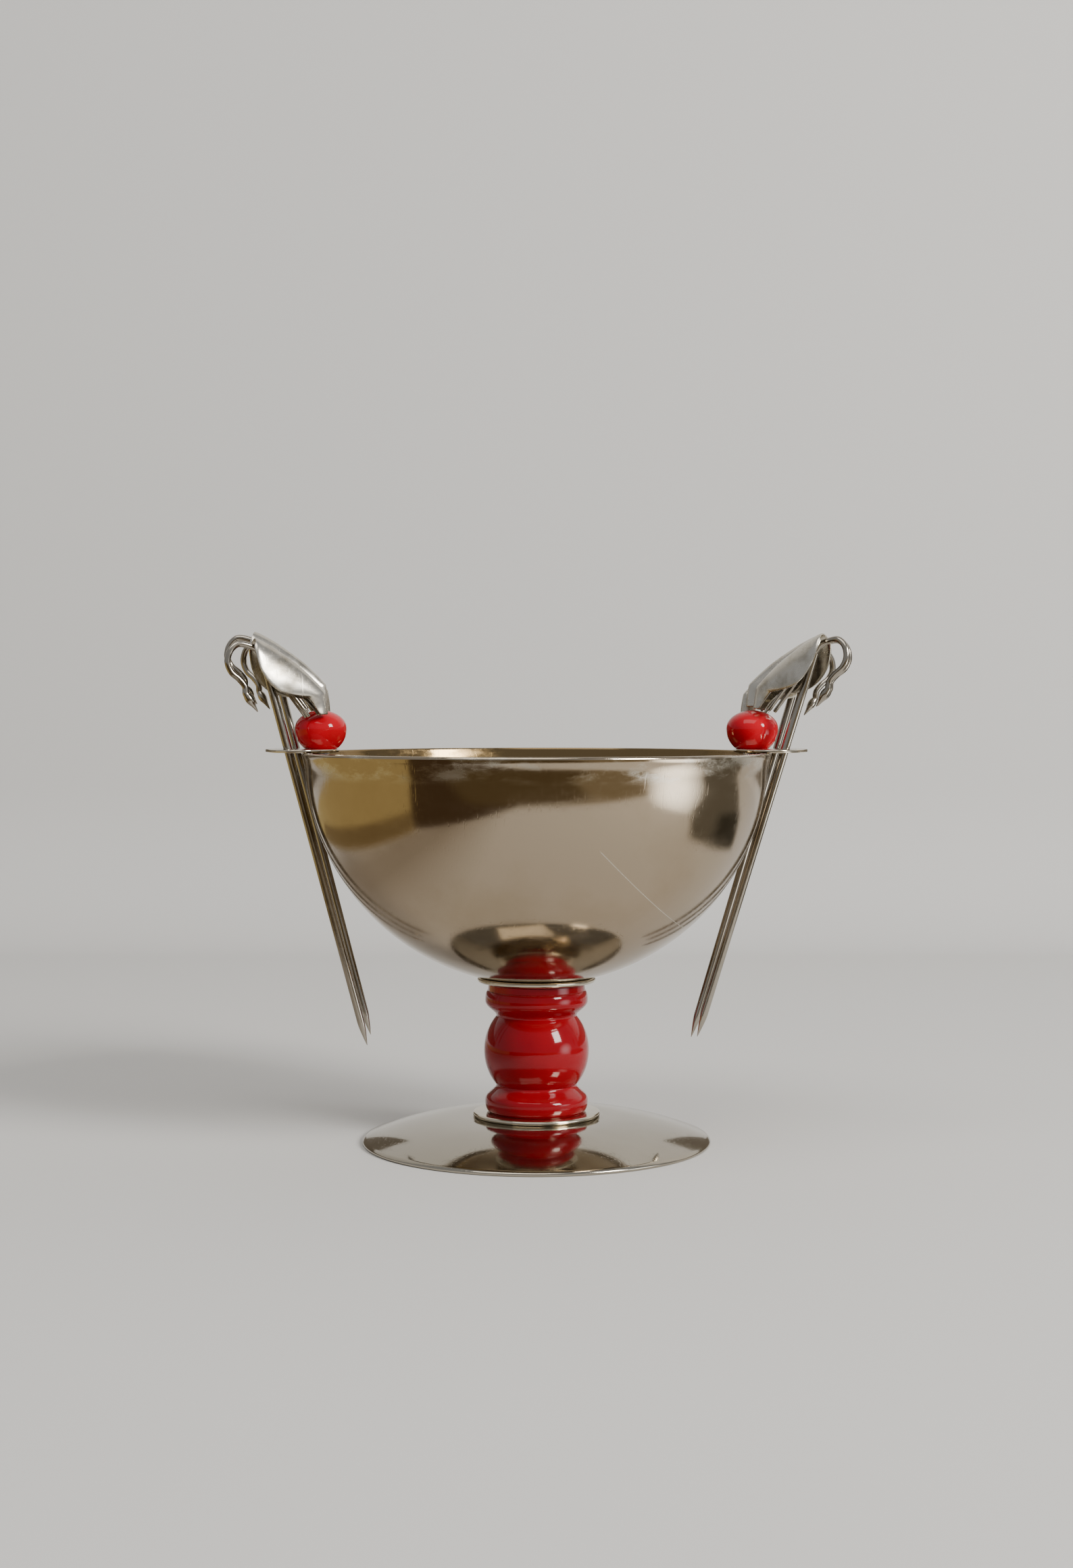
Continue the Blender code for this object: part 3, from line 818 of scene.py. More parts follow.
@dataclass
class Stand:
    """The foot, washers, stem, bowl and the tie screw that clamps them."""

    shop: Workshop
    foot_radius: float = 30.3 * MM
    foot_height: float = 4.5 * MM
    foot_edge: float = 0.7 * MM
    foot_sheet: float = 0.8 * MM
    foot_ring: float = 1.8 * MM
    foot_seat: float = 11.6 * MM
    washer: float = 0.5 * MM
    lower_washer_radius: float = 11.1 * MM
    upper_washer_radius: float = 10.2 * MM
    stem_height: float = 21.0 * MM
    stem_collar: float = 8.95 * MM
    stem_neck: float = 7.0 * MM
    stem_barrel: float = 9.15 * MM
    stem_end: float = 8.4 * MM
    collar_height: float = 1.7 * MM
    neck_height: float = 4.5 * MM
    bowl_radius: float = 40.1 * MM
    bowl_wall: float = 0.7 * MM
    lip_height: float = 3.2 * MM
    lip_flare: float = 0.6 * MM
    bore: float = 1.8 * MM
    screw_radius: float = 1.5 * MM
    head_radius: float = 4.0 * MM
    head_rise: float = 1.3 * MM
    screw_end: float = 0.9 * MM
    nut_flats: float = 5.5 * MM
    nut_thickness: float = 2.0 * MM
    rim_rise: float = 0.14 * MM
    seat: float = 0.3 * MM
    close_up: float = 0.12 * MM
    hair: float = 0.02 * MM

    @property
    def washer_bottom(self) -> float:
        """Height of the lower washer's underside."""
        return self.foot_height + self.seat

    @property
    def stem_bottom(self) -> float:
        """Height of the stem's underside."""
        return self.washer_bottom + self.washer + self.seat

    @property
    def rim(self) -> float:
        """Height of the bowl's rim."""
        return self.stem_bottom + self.stem_height + 2 * self.seat + self.washer + self.bowl_radius

    def build(self) -> None:
        """Build and seat every piece of the stand."""
        self.build_foot()
        self.build_washers()
        self.build_stem()
        self.build_bowl()
        self.build_tie_screw()
        self.build_tie_nut()

    def dish(self, radius: float, reaches: Sequence[float]) -> Outline:
        """A round face about the bowl's middle, seen in section at the given reaches."""
        return [(reach, self.rim - math.sqrt(radius ** 2 - reach ** 2)) for reach in reaches]

    def build_foot(self) -> None:
        """The shallow domed foot with a rounded edge."""
        rise = self.foot_height - self.foot_edge
        span = self.foot_radius - self.foot_seat
        inner = self.foot_radius - self.foot_ring

        def top(reach: float) -> float:
            """Height of the upper face at a reach."""
            share = max(0.0, (reach - self.foot_seat) / span)
            return self.foot_edge + rise * (1 - share ** 2)

        edge = self.foot_edge / 2
        outside = even_steps(self.foot_seat, self.foot_radius - edge, 48)
        inside = even_steps(inner, self.foot_seat, 48)
        outline = [(self.bore, self.foot_height + self.close_up)]
        outline += [(self.lower_washer_radius, self.foot_height + self.close_up)]
        outline += [(reach, top(reach)) for reach in outside]
        outline += arc((self.foot_radius - edge, edge), edge, 60, -90, 10)
        outline += [(inner, 0.0)]
        outline += [(reach, top(reach) - self.foot_sheet) for reach in inside]
        outline += [(self.bore, self.foot_height - self.foot_sheet)]
        piece = self.shop.turned("foot", outline, FOOT_PLATE, 192)
        self.shop.seat(piece, "stand", "foot_disc", "foot")

    def build_washers(self) -> None:
        """The flat lower washer and the dished upper one, with rounded edges."""
        low = self.washer_bottom - self.seat + self.close_up + self.hair
        high = self.washer_bottom + self.washer + self.close_up
        half = (high - low) / 2
        outline = [(self.bore, high)]
        outline += arc((self.lower_washer_radius - half, low + half), half, 90, -90, 12)
        outline += [(self.bore, low)]
        piece = self.shop.turned("lower_washer_ring", outline, EDGE_PLATE, 128)
        self.shop.seat(piece, "stand", "lower_washer", "washer")

        upper = self.bowl_radius + self.hair
        lower = self.bowl_radius + self.seat + self.washer + self.close_up
        half = (lower - upper) / 2
        reaches = even_steps(self.bore, self.upper_washer_radius - half, 20)
        outline = self.dish(upper, reaches)
        slope = math.asin(reaches[-1] / upper)
        middle = (upper + lower) / 2
        centre = (middle * math.sin(slope), self.rim - middle * math.cos(slope))
        lean = math.degrees(slope)
        outline += arc(centre, half, 90 + lean, -90 + lean, 10)[1:-1]
        outline += reversed(self.dish(lower, reaches))
        piece = self.shop.turned("upper_washer_ring", outline, EDGE_PLATE, 128)
        self.shop.seat(piece, "stand", "upper_washer", "washer")

    def stem_outline(self) -> Outline:
        """The stem's outside, top down: collar, notch, round barrel, notch, collar.

        Returns:
            Radius and height pairs, with heights from the stem's own foot.
        """
        swell = self.stem_barrel - self.stem_neck
        half = self.stem_height / 2 - self.neck_height
        bulge = (half ** 2 + swell ** 2) / (2 * swell)
        spread = math.degrees(math.asin(half / bulge))
        barrel = arc((self.stem_barrel - bulge, self.stem_height / 2), bulge, spread, -spread, 48)
        reach = self.stem_collar - self.stem_neck
        drop = self.neck_height - self.collar_height
        corner = self.stem_collar - self.stem_end
        collar = [(self.stem_end, 0.0)] + [
            (self.stem_end + corner * math.sin(math.pi / 2 * i / 12),
             self.collar_height * (1 - math.cos(math.pi / 2 * i / 12))) for i in range(1, 12)]
        for index in range(24):
            share = index / 24
            blend = (1 - math.cos(math.pi * share ** 1.25)) / 2
            collar.append((self.stem_collar - reach * blend, self.collar_height + drop * share))
        upper = [(radius, self.stem_height - height) for radius, height in collar]
        return upper + barrel + list(reversed(collar))

    def build_stem(self) -> None:
        """The turned stem, bored for the screw and dished at its top."""
        hollow = self.bowl_radius + self.washer + self.seat + self.close_up + 2 * self.hair
        outline = self.dish(hollow, even_steps(self.bore, self.stem_end, 12))
        outline += [(radius, self.stem_bottom + height) for radius, height in self.stem_outline()[1:]]
        low = self.stem_bottom - self.seat + self.close_up + self.hair
        outline += [(self.stem_end - 0.1 * MM, low), (self.bore, low)]
        # The stem takes the darker copy of the red lacquer: painted shade from the bowl above.
        piece = self.shop.turned("stem_turning", outline, SHADED_STEM_LACQUER, 160)
        self.shop.seat(piece, "stand", "stem", "stem")

    def build_bowl(self) -> None:
        """The half-round bowl with a flared lip and a rounded rim edge."""
        half = self.bowl_wall / 2

        def wall(radius: float) -> Outline:
            """One face of the wall, from the bore up to just under the rim."""
            points = []
            for angle in even_steps(math.asin(self.bore / radius), math.acos(half / radius), 96):
                depth = radius * math.cos(angle)
                over = max(0.0, 1 - depth / self.lip_height)
                points.append((radius * math.sin(angle) + self.lip_flare * over ** 2, self.rim - depth))
            return points

        inner = wall(self.bowl_radius - self.bowl_wall)
        outer = wall(self.bowl_radius)
        middle = (inner[-1][0] + outer[-1][0]) / 2
        reach = (outer[-1][0] - inner[-1][0]) / 2
        rise = half + self.rim_rise
        turns = [math.radians(degrees) for degrees in range(165, 0, -15)]
        edge = [(middle + reach * math.cos(a), self.rim - half + rise * math.sin(a)) for a in turns]
        piece = self.shop.turned("bowl_shell", inner + edge + list(reversed(outer)), BOWL_PLATE, 256)
        self.shop.seat(piece, "stand", "bowl", "bowl")

    def build_tie_screw(self) -> None:
        """The tie screw: a low domed head with a driver slot, and a plain shank."""
        inner = self.bowl_radius - self.bowl_wall
        wall = self.rim - math.sqrt(inner ** 2 - self.head_radius ** 2)
        seat = wall + 0.05 * MM
        top = wall + self.seat + self.head_rise
        rise = top - seat - 0.25 * MM
        dome = (rise ** 2 + self.head_radius ** 2) / (2 * rise)
        spread = math.degrees(math.asin(self.head_radius / dome))
        outline = arc((0.0, top - dome), dome, 90, 90 - spread, 24)
        outline[0] = (0.0, top)
        outline += [(self.head_radius, seat + 0.1 * MM), (self.head_radius - 0.1 * MM, seat)]
        outline += [(self.screw_radius, seat), (self.screw_radius, self.screw_end + 0.3 * MM)]
        outline += [(self.screw_radius - 0.3 * MM, self.screw_end), (0.0, self.screw_end)]
        piece = self.shop.turned("tie_screw_slotted", outline, BRIGHT_STEEL, 96)
        self.cut_slot(piece, top, 1.0 * MM, 0.6 * MM)
        self.shop.seat(piece, "stand", "tie_screw", "fastener")

    def cut_slot(self, piece: bpy.types.Object, top: float, width: float, depth: float) -> None:
        """Cut a driver slot across a screw head.

        Args:
            piece: the screw.
            top: height of the head's top.
            width: the slot's width.
            depth: the slot's depth.
        """
        work = bmesh.new()
        bmesh.ops.create_cube(work, size=1.0)
        mesh = MeshTools.from_bmesh("slot_cutter", work)
        mesh.transform(Matrix.Translation((0, 0, top)) @ Matrix.Rotation(math.radians(25), 4, "Z")
                       @ Matrix.Diagonal((3 * self.head_radius, width, 2 * depth, 1)))
        MeshTools.cut(piece, MeshTools.object_of(mesh), "DIFFERENCE", 30.0)

    def build_tie_nut(self) -> None:
        """The hexagon nut under the foot, with its corners turned off."""
        top = self.foot_height - self.foot_sheet - self.seat
        corner = self.nut_flats / math.sqrt(3)
        work = bmesh.new()
        bmesh.ops.create_cone(work, cap_ends=True, segments=6, radius1=corner, radius2=corner,
                              depth=self.nut_thickness)
        mesh = MeshTools.from_bmesh("hex_nut", work)
        mesh.transform(Matrix.Translation((0, 0, top - self.nut_thickness / 2)))
        nut = MeshTools.object_of(mesh)
        slope = 0.35 * MM
        reach = corner + self.hair
        outline = [
            (self.bore, top), (corner - slope, top), (reach, top - slope),
            (reach, top - self.nut_thickness + slope), (corner - slope, top - self.nut_thickness),
            (self.bore, top - self.nut_thickness)]
        keeper = self.shop.turned("nut_keeper", outline, BRIGHT_STEEL, 96)
        MeshTools.cut(nut, keeper, "INTERSECT", 20.0)
        self.shop.coat(nut.data, BRIGHT_STEEL)
        self.shop.seat(nut, "stand", "tie_nut", "fastener")


@dataclass
class Ear:
    """One ear plate with its bead and the screw that holds the bead."""

    shop: Workshop
    side: Side
    rim: float
    centre: float = 40.55 * MM
    half_length: float = 6.35 * MM
    half_width: float = 10.5 * MM
    thickness: float = 0.4 * MM
    bead_place: float = 37.4 * MM
    bead_radius: float = 4.5 * MM
    bead_height: float = 6.4 * MM
    bead_flat: float = 2.8 * MM
    bead_bore: float = 1.1 * MM
    screw_radius: float = 0.8 * MM
    screw_depth: float = 3.6 * MM
    head_radius: float = 1.5 * MM
    head_thickness: float = 0.9 * MM
    hole_arc: float = 43.0 * MM
    hole_pitch: float = 7.0 * MM
    hole_radius: float = 1.0 * MM
    seat: float = 0.3 * MM
    close_up: float = 0.14 * MM
    hair: float = 0.02 * MM

    @property
    def bottom(self) -> float:
        """Height of the plate's underside."""
        return self.rim + self.seat

    @property
    def top(self) -> float:
        """Height of the plate's upper face."""
        return self.bottom + self.thickness

    @property
    def bead_middle(self) -> float:
        """Height of the bead's widest ring."""
        return self.top + self.seat + self.bead_height / 2

    @property
    def bead_centre(self) -> tuple[float, float]:
        """The bead's middle, seen from above."""
        return self.side.value * self.bead_place, 0.0

    def hole(self, place: Place) -> tuple[float, float]:
        """The middle of one shaft's hole, seen from above."""
        across = place.value * self.hole_pitch
        return self.side.value * math.sqrt(self.hole_arc ** 2 - across ** 2), across

    def build(self) -> None:
        """Build and seat the plate, the bead and the screw."""
        self.build_plate()
        self.build_bead()
        self.build_screw()

    def build_plate(self) -> None:
        """The oval plate: a filled outline with round holes and rounded edges."""
        curve = bpy.data.curves.new("ear_plate_" + self.side.word, "CURVE")
        curve.dimensions = "2D"
        curve.fill_mode = "BOTH"
        thickness = self.thickness + self.close_up
        curve.bevel_depth = thickness * 0.3
        curve.bevel_resolution = 3
        curve.extrude = thickness / 2 - curve.bevel_depth
        curve.offset = -curve.bevel_depth
        middle = (self.side.value * self.centre, 0.0)
        self.add_ring(curve, middle, (self.half_length, self.half_width), 96)
        self.add_ring(curve, self.bead_centre, (self.bead_bore, self.bead_bore), 32)
        for place in Place:
            self.add_ring(curve, self.hole(place), (self.hole_radius, self.hole_radius), 40)
        item = MeshTools.object_of(curve)
        mesh = MeshTools.evaluated(item)
        bpy.data.objects.remove(item, do_unlink=True)
        lift = self.bottom + (self.thickness - self.close_up) / 2
        mesh.transform(Matrix.Translation((0, 0, lift)))
        self.shop.coat(mesh, EDGE_PLATE)
        plate = MeshTools.bake(MeshTools.object_of(mesh), 50.0)
        self.shop.seat(plate, "stand", "ear_" + self.side.word, "ear")

    def add_ring(self, curve: bpy.types.Curve, centre: tuple[float, float],
                 radii: tuple[float, float], count: int) -> None:
        """Add one closed oval to a flat curve.

        Args:
            curve: the curve.
            centre: the oval's middle.
            radii: its half sizes along X and Y.
            count: its points.
        """
        spline = curve.splines.new("POLY")
        spline.points.add(count - 1)
        for index, point in enumerate(spline.points):
            angle = math.tau * index / count
            along, across = radii[0] * math.cos(angle), radii[1] * math.sin(angle)
            point.co = (centre[0] + along, centre[1] + across, 0, 1)
        spline.use_cyclic_u = True

    def build_bead(self) -> None:
        """The flattened round bead, fuller below, with a wide flat underside."""
        half = self.bead_height / 2
        low = self.top + self.hair
        cut = math.acos(self.bead_flat / self.bead_radius)
        deep = (self.bead_middle - low) / math.sin(cut)
        outline = [(0.0, self.bead_middle + half)]
        for angle in even_steps(math.pi / 2, -cut, 64)[1:]:
            rise = math.sin(angle) * (half if angle > 0 else deep)
            outline.append((self.bead_radius * math.cos(angle), self.bead_middle + rise))
        bore_end = self.bead_middle - half + self.screw_depth + self.seat
        outline += [(self.bead_bore, low), (self.bead_bore, bore_end), (0.0, bore_end)]
        piece = self.shop.turned("round_bead_" + self.side.word, outline, RED_LACQUER, 128,
                                 self.bead_centre)
        self.shop.seat(piece, "stand", "bead_" + self.side.word, "bead")

    def build_screw(self) -> None:
        """The small screw under the ear, with a rounded head."""
        top = self.top + self.seat + self.screw_depth
        seat = self.bottom - self.seat + self.close_up
        bottom = self.bottom - self.seat - self.head_thickness
        edge = 0.35 * MM
        slope = 0.15 * MM
        outline = [(0.0, top), (self.screw_radius - slope, top), (self.screw_radius, top - slope)]
        outline += [(self.screw_radius, seat), (self.head_radius - 0.1 * MM, seat)]
        outline += arc((self.head_radius - edge, bottom + edge), edge, 0, -90, 8)
        outline += [(0.0, bottom)]
        piece = self.shop.turned("bead_pin_" + self.side.word, outline, BRIGHT_STEEL, 64,
                                 self.bead_centre)
        self.shop.seat(piece, "stand", "bead_screw_" + self.side.word, "fastener")


@dataclass
class BirdPick:
    """One pick: a pointed shaft with a folded body, a bent neck and two legs."""

    shop: Workshop
    ear: Ear
    place: Place
    tilt: float
    heading: float
    shaft_radius: float = 0.65 * MM
    below_rim: float = 52.0 * MM
    above_rim: float = 17.0 * MM
    neck_radius: float = 0.55 * MM
    leg_radius: float = 0.35 * MM
    leg_spread: float = 0.95 * MM
    sheet: float = 0.3 * MM
    body_length: float = 10.0 * MM
    wing_turn: float = math.radians(84)
    fold: int = 2

    @property
    def tag(self) -> str:
        """The pick's body name, which starts its nodes' names."""
        return "pick_%s_%s" % (self.ear.side.word, self.place.word)

    def frame(self) -> Matrix:
        """The shaft's frame: Z up the shaft, X away from the bowl, turned to its heading.

        Returns:
            The frame, lifted so that the shaft's top is where the CAD shaft has it.
        """
        sign = self.ear.side.value
        hole = Vector((*self.ear.hole(self.place), self.ear.top))
        outward = Vector((hole.x, hole.y, 0)).normalized()
        up = (outward * math.sin(self.tilt) + Vector((0, 0, math.cos(self.tilt)))).normalized()
        side = up.cross(outward).normalized()
        ahead = side.cross(up).normalized()
        turned = Matrix((ahead, side, up)).transposed().to_4x4()
        swing = math.atan2(outward.y, abs(outward.x)) * sign
        frame = Matrix.Translation(hole) @ turned @ Matrix.Rotation(-self.heading * sign - swing, 4, "Z")
        rise = self.above_rim * math.cos(self.tilt) + self.shaft_radius * math.sin(self.tilt)
        top = self.ear.top + rise
        lift = (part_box(self.tag + "_shaft")[1][2] - top) / math.cos(self.tilt)
        return frame @ Matrix.Translation((0, 0, lift))

    def build(self) -> None:
        """Build and seat the pick's four pieces."""
        frame = self.frame()
        self.build_shaft(frame)
        self.build_body(frame)
        self.build_neck(frame)
        self.build_legs(frame)

    def finish(self, piece: bpy.types.Object, node: str, slot: str) -> None:
        """Seat a piece of this pick on its body."""
        self.shop.seat(piece, self.tag, "%s_%s" % (self.tag, node), slot)

    def build_shaft(self, frame: Matrix) -> None:
        """The straight shaft with a ground point and a rounded top end."""
        low = -self.below_rim
        stops = [(0.0, 0.06), (0.25, 0.14), (1.2, 0.42), (2.6, 0.78), (3.6, 0.96), (4.2, 1.0)]
        points = [Vector((0, 0, low + height * MM)) for height, _ in stops]
        radii = [self.shaft_radius * share for _, share in stops]
        for height in even_steps(points[-1].z, self.above_rim - 0.2 * MM, 24)[1:]:
            points.append(Vector((0, 0, height)))
            radii.append(self.shaft_radius)
        points.append(Vector((0, 0, self.above_rim)))
        radii.append(self.shaft_radius * 0.75)
        piece = self.shop.drawn("%s_pin" % self.tag, points, radii, DRAWN_WIRE, frame, 24)
        self.finish(piece, "shaft", "pick_shaft")

    def body_rows(self) -> list[tuple[Vector, Vector, float]]:
        """The body's stations from tail to breast, smoothed.

        Returns:
            The back point, the wing's lower edge and the half width of each station.
        """
        stations = (
            ((-0.82, 0.47), (-0.69, 0.50), 0.08), ((-0.86, 0.66), (-0.62, 0.68), 0.09),
            ((-0.88, 0.84), (-0.53, 0.84), 0.12), ((-0.76, 1.06), (-0.37, 0.90), 0.16),
            ((-0.60, 1.31), (-0.21, 0.97), 0.20), ((-0.42, 1.54), (-0.04, 1.08), 0.24),
            ((-0.24, 1.75), (0.09, 1.27), 0.26), ((-0.10, 1.89), (0.16, 1.51), 0.26),
            ((0.00, 1.98), (0.15, 1.75), 0.22), ((0.06, 2.02), (0.12, 1.90), 0.16))
        scale = self.body_length
        rows = []
        for part in (stations[:self.fold + 1], stations[self.fold:]):
            backs = smooth_path([Vector((b[0], 0, b[1])) * scale for b, _, _ in part], 6)
            edges = smooth_path([Vector((e[0], 0, e[1])) * scale for _, e, _ in part], 6)
            widths = smooth_path([Vector((w, 0, 0)) * scale for _, _, w in part], 6)
            stretch = [(back, edge, width.x) for back, edge, width in zip(backs, edges, widths)]
            rows += stretch[1:] if rows else stretch
        return rows

    def build_body(self, frame: Matrix) -> None:
        """The body: one thin sheet bent over its back line, open underneath."""
        steps = 32
        work = bmesh.new()
        rows = []
        for back, edge, width in self.body_rows():
            row = []
            for index in range(steps + 1):
                angle = self.wing_turn * (2 * index / steps - 1)
                drop = (1 - math.cos(angle)) / (1 - math.cos(self.wing_turn))
                spot = back + (edge - back) * drop + Vector((0, width * math.sin(angle), 0))
                row.append(work.verts.new(spot))
            rows.append(row)
        for row, following in zip(rows, rows[1:]):
            for index in range(steps):
                work.faces.new((row[index], row[index + 1], following[index + 1], following[index]))
        mesh = bpy.data.meshes.new("%s_shell" % self.tag)
        work.to_mesh(mesh)
        work.free()
        mesh.transform(frame)
        self.shop.coat(mesh, NICKEL_SILVER)
        item = MeshTools.object_of(mesh)
        wall = item.modifiers.new("Sheet", "SOLIDIFY")
        wall.thickness = self.sheet
        wall.offset = -1
        soft = item.modifiers.new("Edge", "BEVEL")
        soft.width = self.sheet * 0.3
        soft.segments = 2
        soft.limit_method = "ANGLE"
        soft.angle_limit = math.radians(50)
        MeshTools.bake(item, 28.0)
        self.finish(item, "body", "bird_body")

    def build_neck(self, frame: Matrix) -> None:
        """The bent neck wire, which swells to a head and thins to a beak."""
        route = ((0.05, 17.06), (0.7, 18.5), (2.0, 19.5), (3.6, 20.1), (5.2, 19.3), (6.1, 17.6),
                 (5.9, 15.8), (4.9, 14.3), (4.3, 12.9), (4.5, 11.7))
        points = smooth_path([Vector((x * MM, 0, z * MM)) for x, z in route], 10)
        radii = [self.neck_radius] * len(points)
        ahead = (points[-1] - points[-2]).normalized()
        ahead = (ahead + Vector((-0.6, 0, -0.2))).normalized()
        head = ((0.35, 1.10), (0.7, 1.28), (1.1, 1.35), (1.5, 1.28), (1.9, 1.08), (2.2, 0.85),
                (2.6, 0.62), (3.1, 0.42), (3.5, 0.26), (3.7, 0.12))
        start = points[-1]
        for reach, share in head:
            points.append(start + ahead * reach * MM)
            radii.append(self.neck_radius * share)
        piece = self.shop.drawn("%s_crook" % self.tag, points, radii, DRAWN_WIRE, frame, 20)
        self.finish(piece, "neck", "bird_neck")

    def build_legs(self, frame: Matrix) -> None:
        """The two legs, one bent wire, down to where the CAD legs end."""
        hip = Vector((-1.9, 0, 12.6)) * MM
        stride = (Vector((-4.9, 0, 5.2)) * MM - hip).normalized()
        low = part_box(self.tag + "_legs")[0][2]
        fall = -(frame.to_3x3() @ stride).z
        thick = self.leg_radius * math.sqrt(max(0.0, 1 - fall ** 2))
        across = Vector((0, self.leg_spread, 0))
        feet = min((frame @ (hip + across)).z, (frame @ (hip - across)).z)
        length = (feet - thick - low) / fall
        ends = [hip + stride * length * share for share in (1.0, 0.97, 0.75, 0.5, 0.25)]
        points = [end - across for end in ends]
        bend = 16
        for index in range(bend + 1):
            angle = math.pi * index / bend
            points.append(hip - stride * self.leg_spread * math.sin(angle) - across * math.cos(angle))
        points += [end + across for end in reversed(ends)]
        radii = [self.leg_radius] * len(points)
        radii[0] = radii[-1] = self.leg_radius * 0.8
        piece = self.shop.drawn("%s_feet" % self.tag, points, radii, DRAWN_WIRE, frame, 16)
        self.finish(piece, "legs", "bird_legs")


@dataclass
class Studio:
    """The pale floor and wall, the soft lights, the cards and the camera."""

    floor_size: float = 1.6
    wall_distance: float = 0.34
    aim: Spot = (0.0, 0.0, 0.05)
    camera_distance: float = 0.390
    camera_height: float = 0.076
    pitch: float = math.radians(2.0)
    lens: float = 51.6
    table_front: float = 0.17
    window_tone: Colour = (5.2, 5.3, 5.4)
    back_height: float = 0.16
    room_tone: Colour = (0.80, 0.82, 0.86)
    room_strength: float = 0.50

    def build(self) -> None:
        """Build the whole studio."""
        self.build_sweep()
        self.build_cards()
        self.build_lights()
        self.build_camera()

    def build_sweep(self) -> None:
        """The floor that curves up into the wall behind."""
        turn = 0.05
        profile = [(-self.floor_size, 0.0), (self.wall_distance - turn, 0.0)]
        profile += [(self.wall_distance - turn + turn * math.sin(math.radians(a)),
                     turn - turn * math.cos(math.radians(a))) for a in range(10, 91, 10)]
        profile += [(self.wall_distance, 1.2)]
        half = self.floor_size
        points = [(x, y, z) for y, z in profile for x in (-half, half)]
        faces = [(2 * i, 2 * i + 1, 2 * i + 3, 2 * i + 2) for i in range(len(profile) - 1)]
        mesh = bpy.data.meshes.new("sweep")
        mesh.from_pydata(points, [], faces)
        mesh.shade_smooth()
        mesh.materials.append(Paint("pale_paint", (0.60, 0.59, 0.57)).material())
        MeshTools.object_of(mesh)

    def soft_cards(self) -> tuple[SoftCard, ...]:
        """The cards on the floor: shade at the left, a shelf, the dim room and a window's frame.

        Returns:
            The cards, each higher than those that it overlaps.
        """
        front = -self.table_front
        return (
            SoftCard("left_shade", (0.33, 0.275, 0.21),
                     ((-0.032, -0.20), (-0.032, 0.15), (-0.150, 0.28), (-0.150, -0.12)),
                     50 * MM, 0.8 * MM, 0.75),
            SoftCard("shelf", (0.58, 0.46, 0.21),
                     ((-0.100, -0.072), (-0.147, 0.206), (-0.170, 0.33), (-2.0, 0.33), (-2.0, -1.25))),
            SoftCard("shelf_edge", (0.27, 0.20, 0.10),
                     ((-0.100, -0.066), (-0.145, 0.206), (-0.195, 0.206), (-0.150, -0.100)),
                     height=1.5 * MM),
            SoftCard("room_dark", (0.095, 0.062, 0.034),
                     ((-0.108, -0.062), (-2.0, -1.10), (-1.7, -2.4), (-0.020, -0.168)),
                     6 * MM, 2.0 * MM),
            SoftCard("room_tan", (0.34, 0.275, 0.17),
                     ((0.010, front), (-0.3, -3.0), (2.5, -3.0), (0.24, -0.125)), 18 * MM, 1.2 * MM),
            SoftCard("room_olive", (0.15, 0.11, 0.055),
                     ((-0.100, -0.145), (-2.0, -1.70), (-2.0, -3.0), (0.45, -3.0), (0.090, front)),
                     22 * MM, 2.5 * MM),
            SoftCard("window_frame", (0.20, 0.185, 0.15),
                     ((0.113, -0.028), (1.2, -0.34), (1.2, 0.33), (0.85, 0.33), (0.126, 0.090))),
            SoftCard("window_frame_edge", (0.07, 0.065, 0.05),
                     ((0.113, 0.000), (0.205, 0.020), (0.24, 0.14), (0.126, 0.090)), 22 * MM, 1.5 * MM))

    def build_cards(self) -> None:
        """Cards that only polished surfaces see: the soft ones, two dim walls and a window."""
        for card in self.soft_cards():
            self.mirror_card(card.name, card.corners, card)
        back = self.wall_distance - 10 * MM
        for name, near, far in (("back_left", -0.10, -1.2), ("back_right", 0.10, 1.2)):
            corners = [(far, back, 0.0), (near, back, 0.0), (near, back, self.back_height),
                       (far, back, self.back_height)]
            self.mirror_card(name, corners, Paint("dim_" + name, (0.13, 0.11, 0.085)))
        window = SoftWindow("window_glow", self.window_tone, (0.163, -0.078, 0.026), (-0.983, 0.185),
                            56 * MM, 36 * MM)
        self.mirror_card(window.name, window.corners, window)

    def mirror_card(self, name: str, corners: Sequence[Spot], finish: Finish) -> None:
        """Add a flat card that shows in polished surfaces and nowhere else.

        Args:
            name: the card's name.
            corners: its corners in order.
            finish: its finish.
        """
        mesh = bpy.data.meshes.new(name)
        mesh.from_pydata(corners, [], [tuple(range(len(corners)))])
        mesh.materials.append(finish.material())
        card = MeshTools.object_of(mesh)
        card.visible_camera = False
        card.visible_diffuse = False
        card.visible_shadow = False

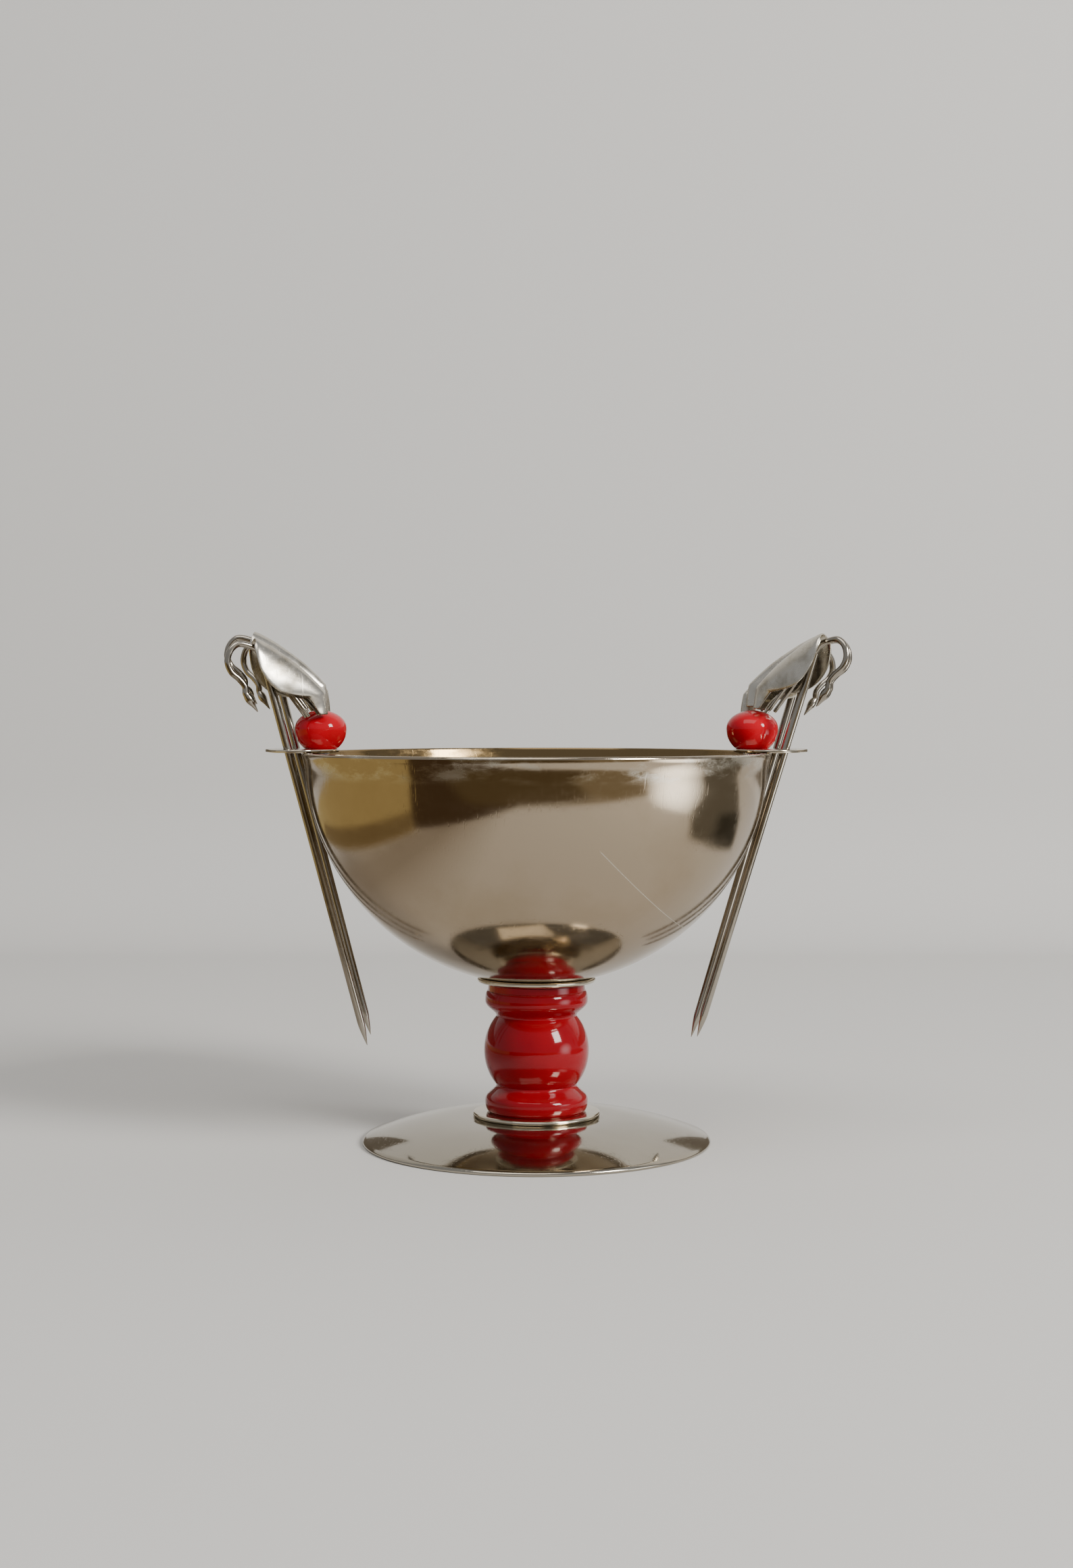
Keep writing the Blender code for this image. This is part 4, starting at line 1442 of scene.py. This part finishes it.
    def light(self, name: str, place: Spot, size: tuple[float, float], power: float,
              colour: Colour) -> None:
        """Add one soft area light aimed at the object's middle.

        Args:
            name: the light's name.
            place: where it hangs.
            size: its width and height.
            power: its power in watts.
            colour: its colour.
        """
        lamp = bpy.data.lights.new(name, "AREA")
        lamp.shape = "RECTANGLE"
        lamp.size, lamp.size_y = size
        lamp.energy = power
        lamp.color = colour
        item = MeshTools.object_of(lamp)
        item.location = place
        item.rotation_euler = (Vector(self.aim) - Vector(place)).to_track_quat("-Z", "Y").to_euler()

    def build_lights(self) -> None:
        """A window-like key at the right, a weak warm fill, and a soft world."""
        self.light("window_key", (0.75, -0.60, 0.55), (0.30, 0.40), 15.0, (1.0, 0.98, 0.95))
        self.light("room_fill", (-0.2, -0.5, 1.1), (0.9, 0.6), 5.0, (1.0, 0.96, 0.90))
        world = bpy.data.worlds.new("soft_room")
        world.use_nodes = True
        soft = world.node_tree.nodes["Background"]
        soft.inputs["Color"].default_value = (*self.room_tone, 1.0)
        soft.inputs["Strength"].default_value = self.room_strength
        bpy.context.scene.world = world

    def build_camera(self) -> None:
        """The camera in front, a little above the rim and tipped slightly down."""
        camera = bpy.data.cameras.new("camera")
        camera.lens = self.lens
        camera.sensor_width = 36.0
        camera.clip_start = 0.01
        item = MeshTools.object_of(camera)
        item.location = (0.0, -self.camera_distance, self.camera_height)
        item.rotation_euler = (math.pi / 2 - self.pitch, 0.0, 0.0)
        bpy.context.scene.camera = item


@dataclass
class PickBowl:
    """The whole object: the stand, two ears and six picks."""

    shop: Workshop

    def build(self) -> None:
        """Build every sub-assembly in order."""
        stand = Stand(self.shop)
        stand.build()
        tilts = {Side.LEFT: 14.8, Side.RIGHT: 16.8}
        headings = {
            (Side.LEFT, Place.FRONT): 22, (Side.LEFT, Place.MIDDLE): 0, (Side.LEFT, Place.BACK): -26,
            (Side.RIGHT, Place.FRONT): 38, (Side.RIGHT, Place.MIDDLE): 8, (Side.RIGHT, Place.BACK): -20}
        for side in Side:
            ear = Ear(self.shop, side, stand.rim)
            ear.build()
            for place in Place:
                heading = math.radians(headings[(side, place)])
                BirdPick(self.shop, ear, place, math.radians(tilts[side]), heading).build()


def main() -> None:
    """Load the frame, build the object and the studio."""
    logging.basicConfig(level=logging.INFO, format="%(message)s")
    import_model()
    PickBowl(Workshop()).build()
    Studio().build()


if __name__ == "__main__":
    main()
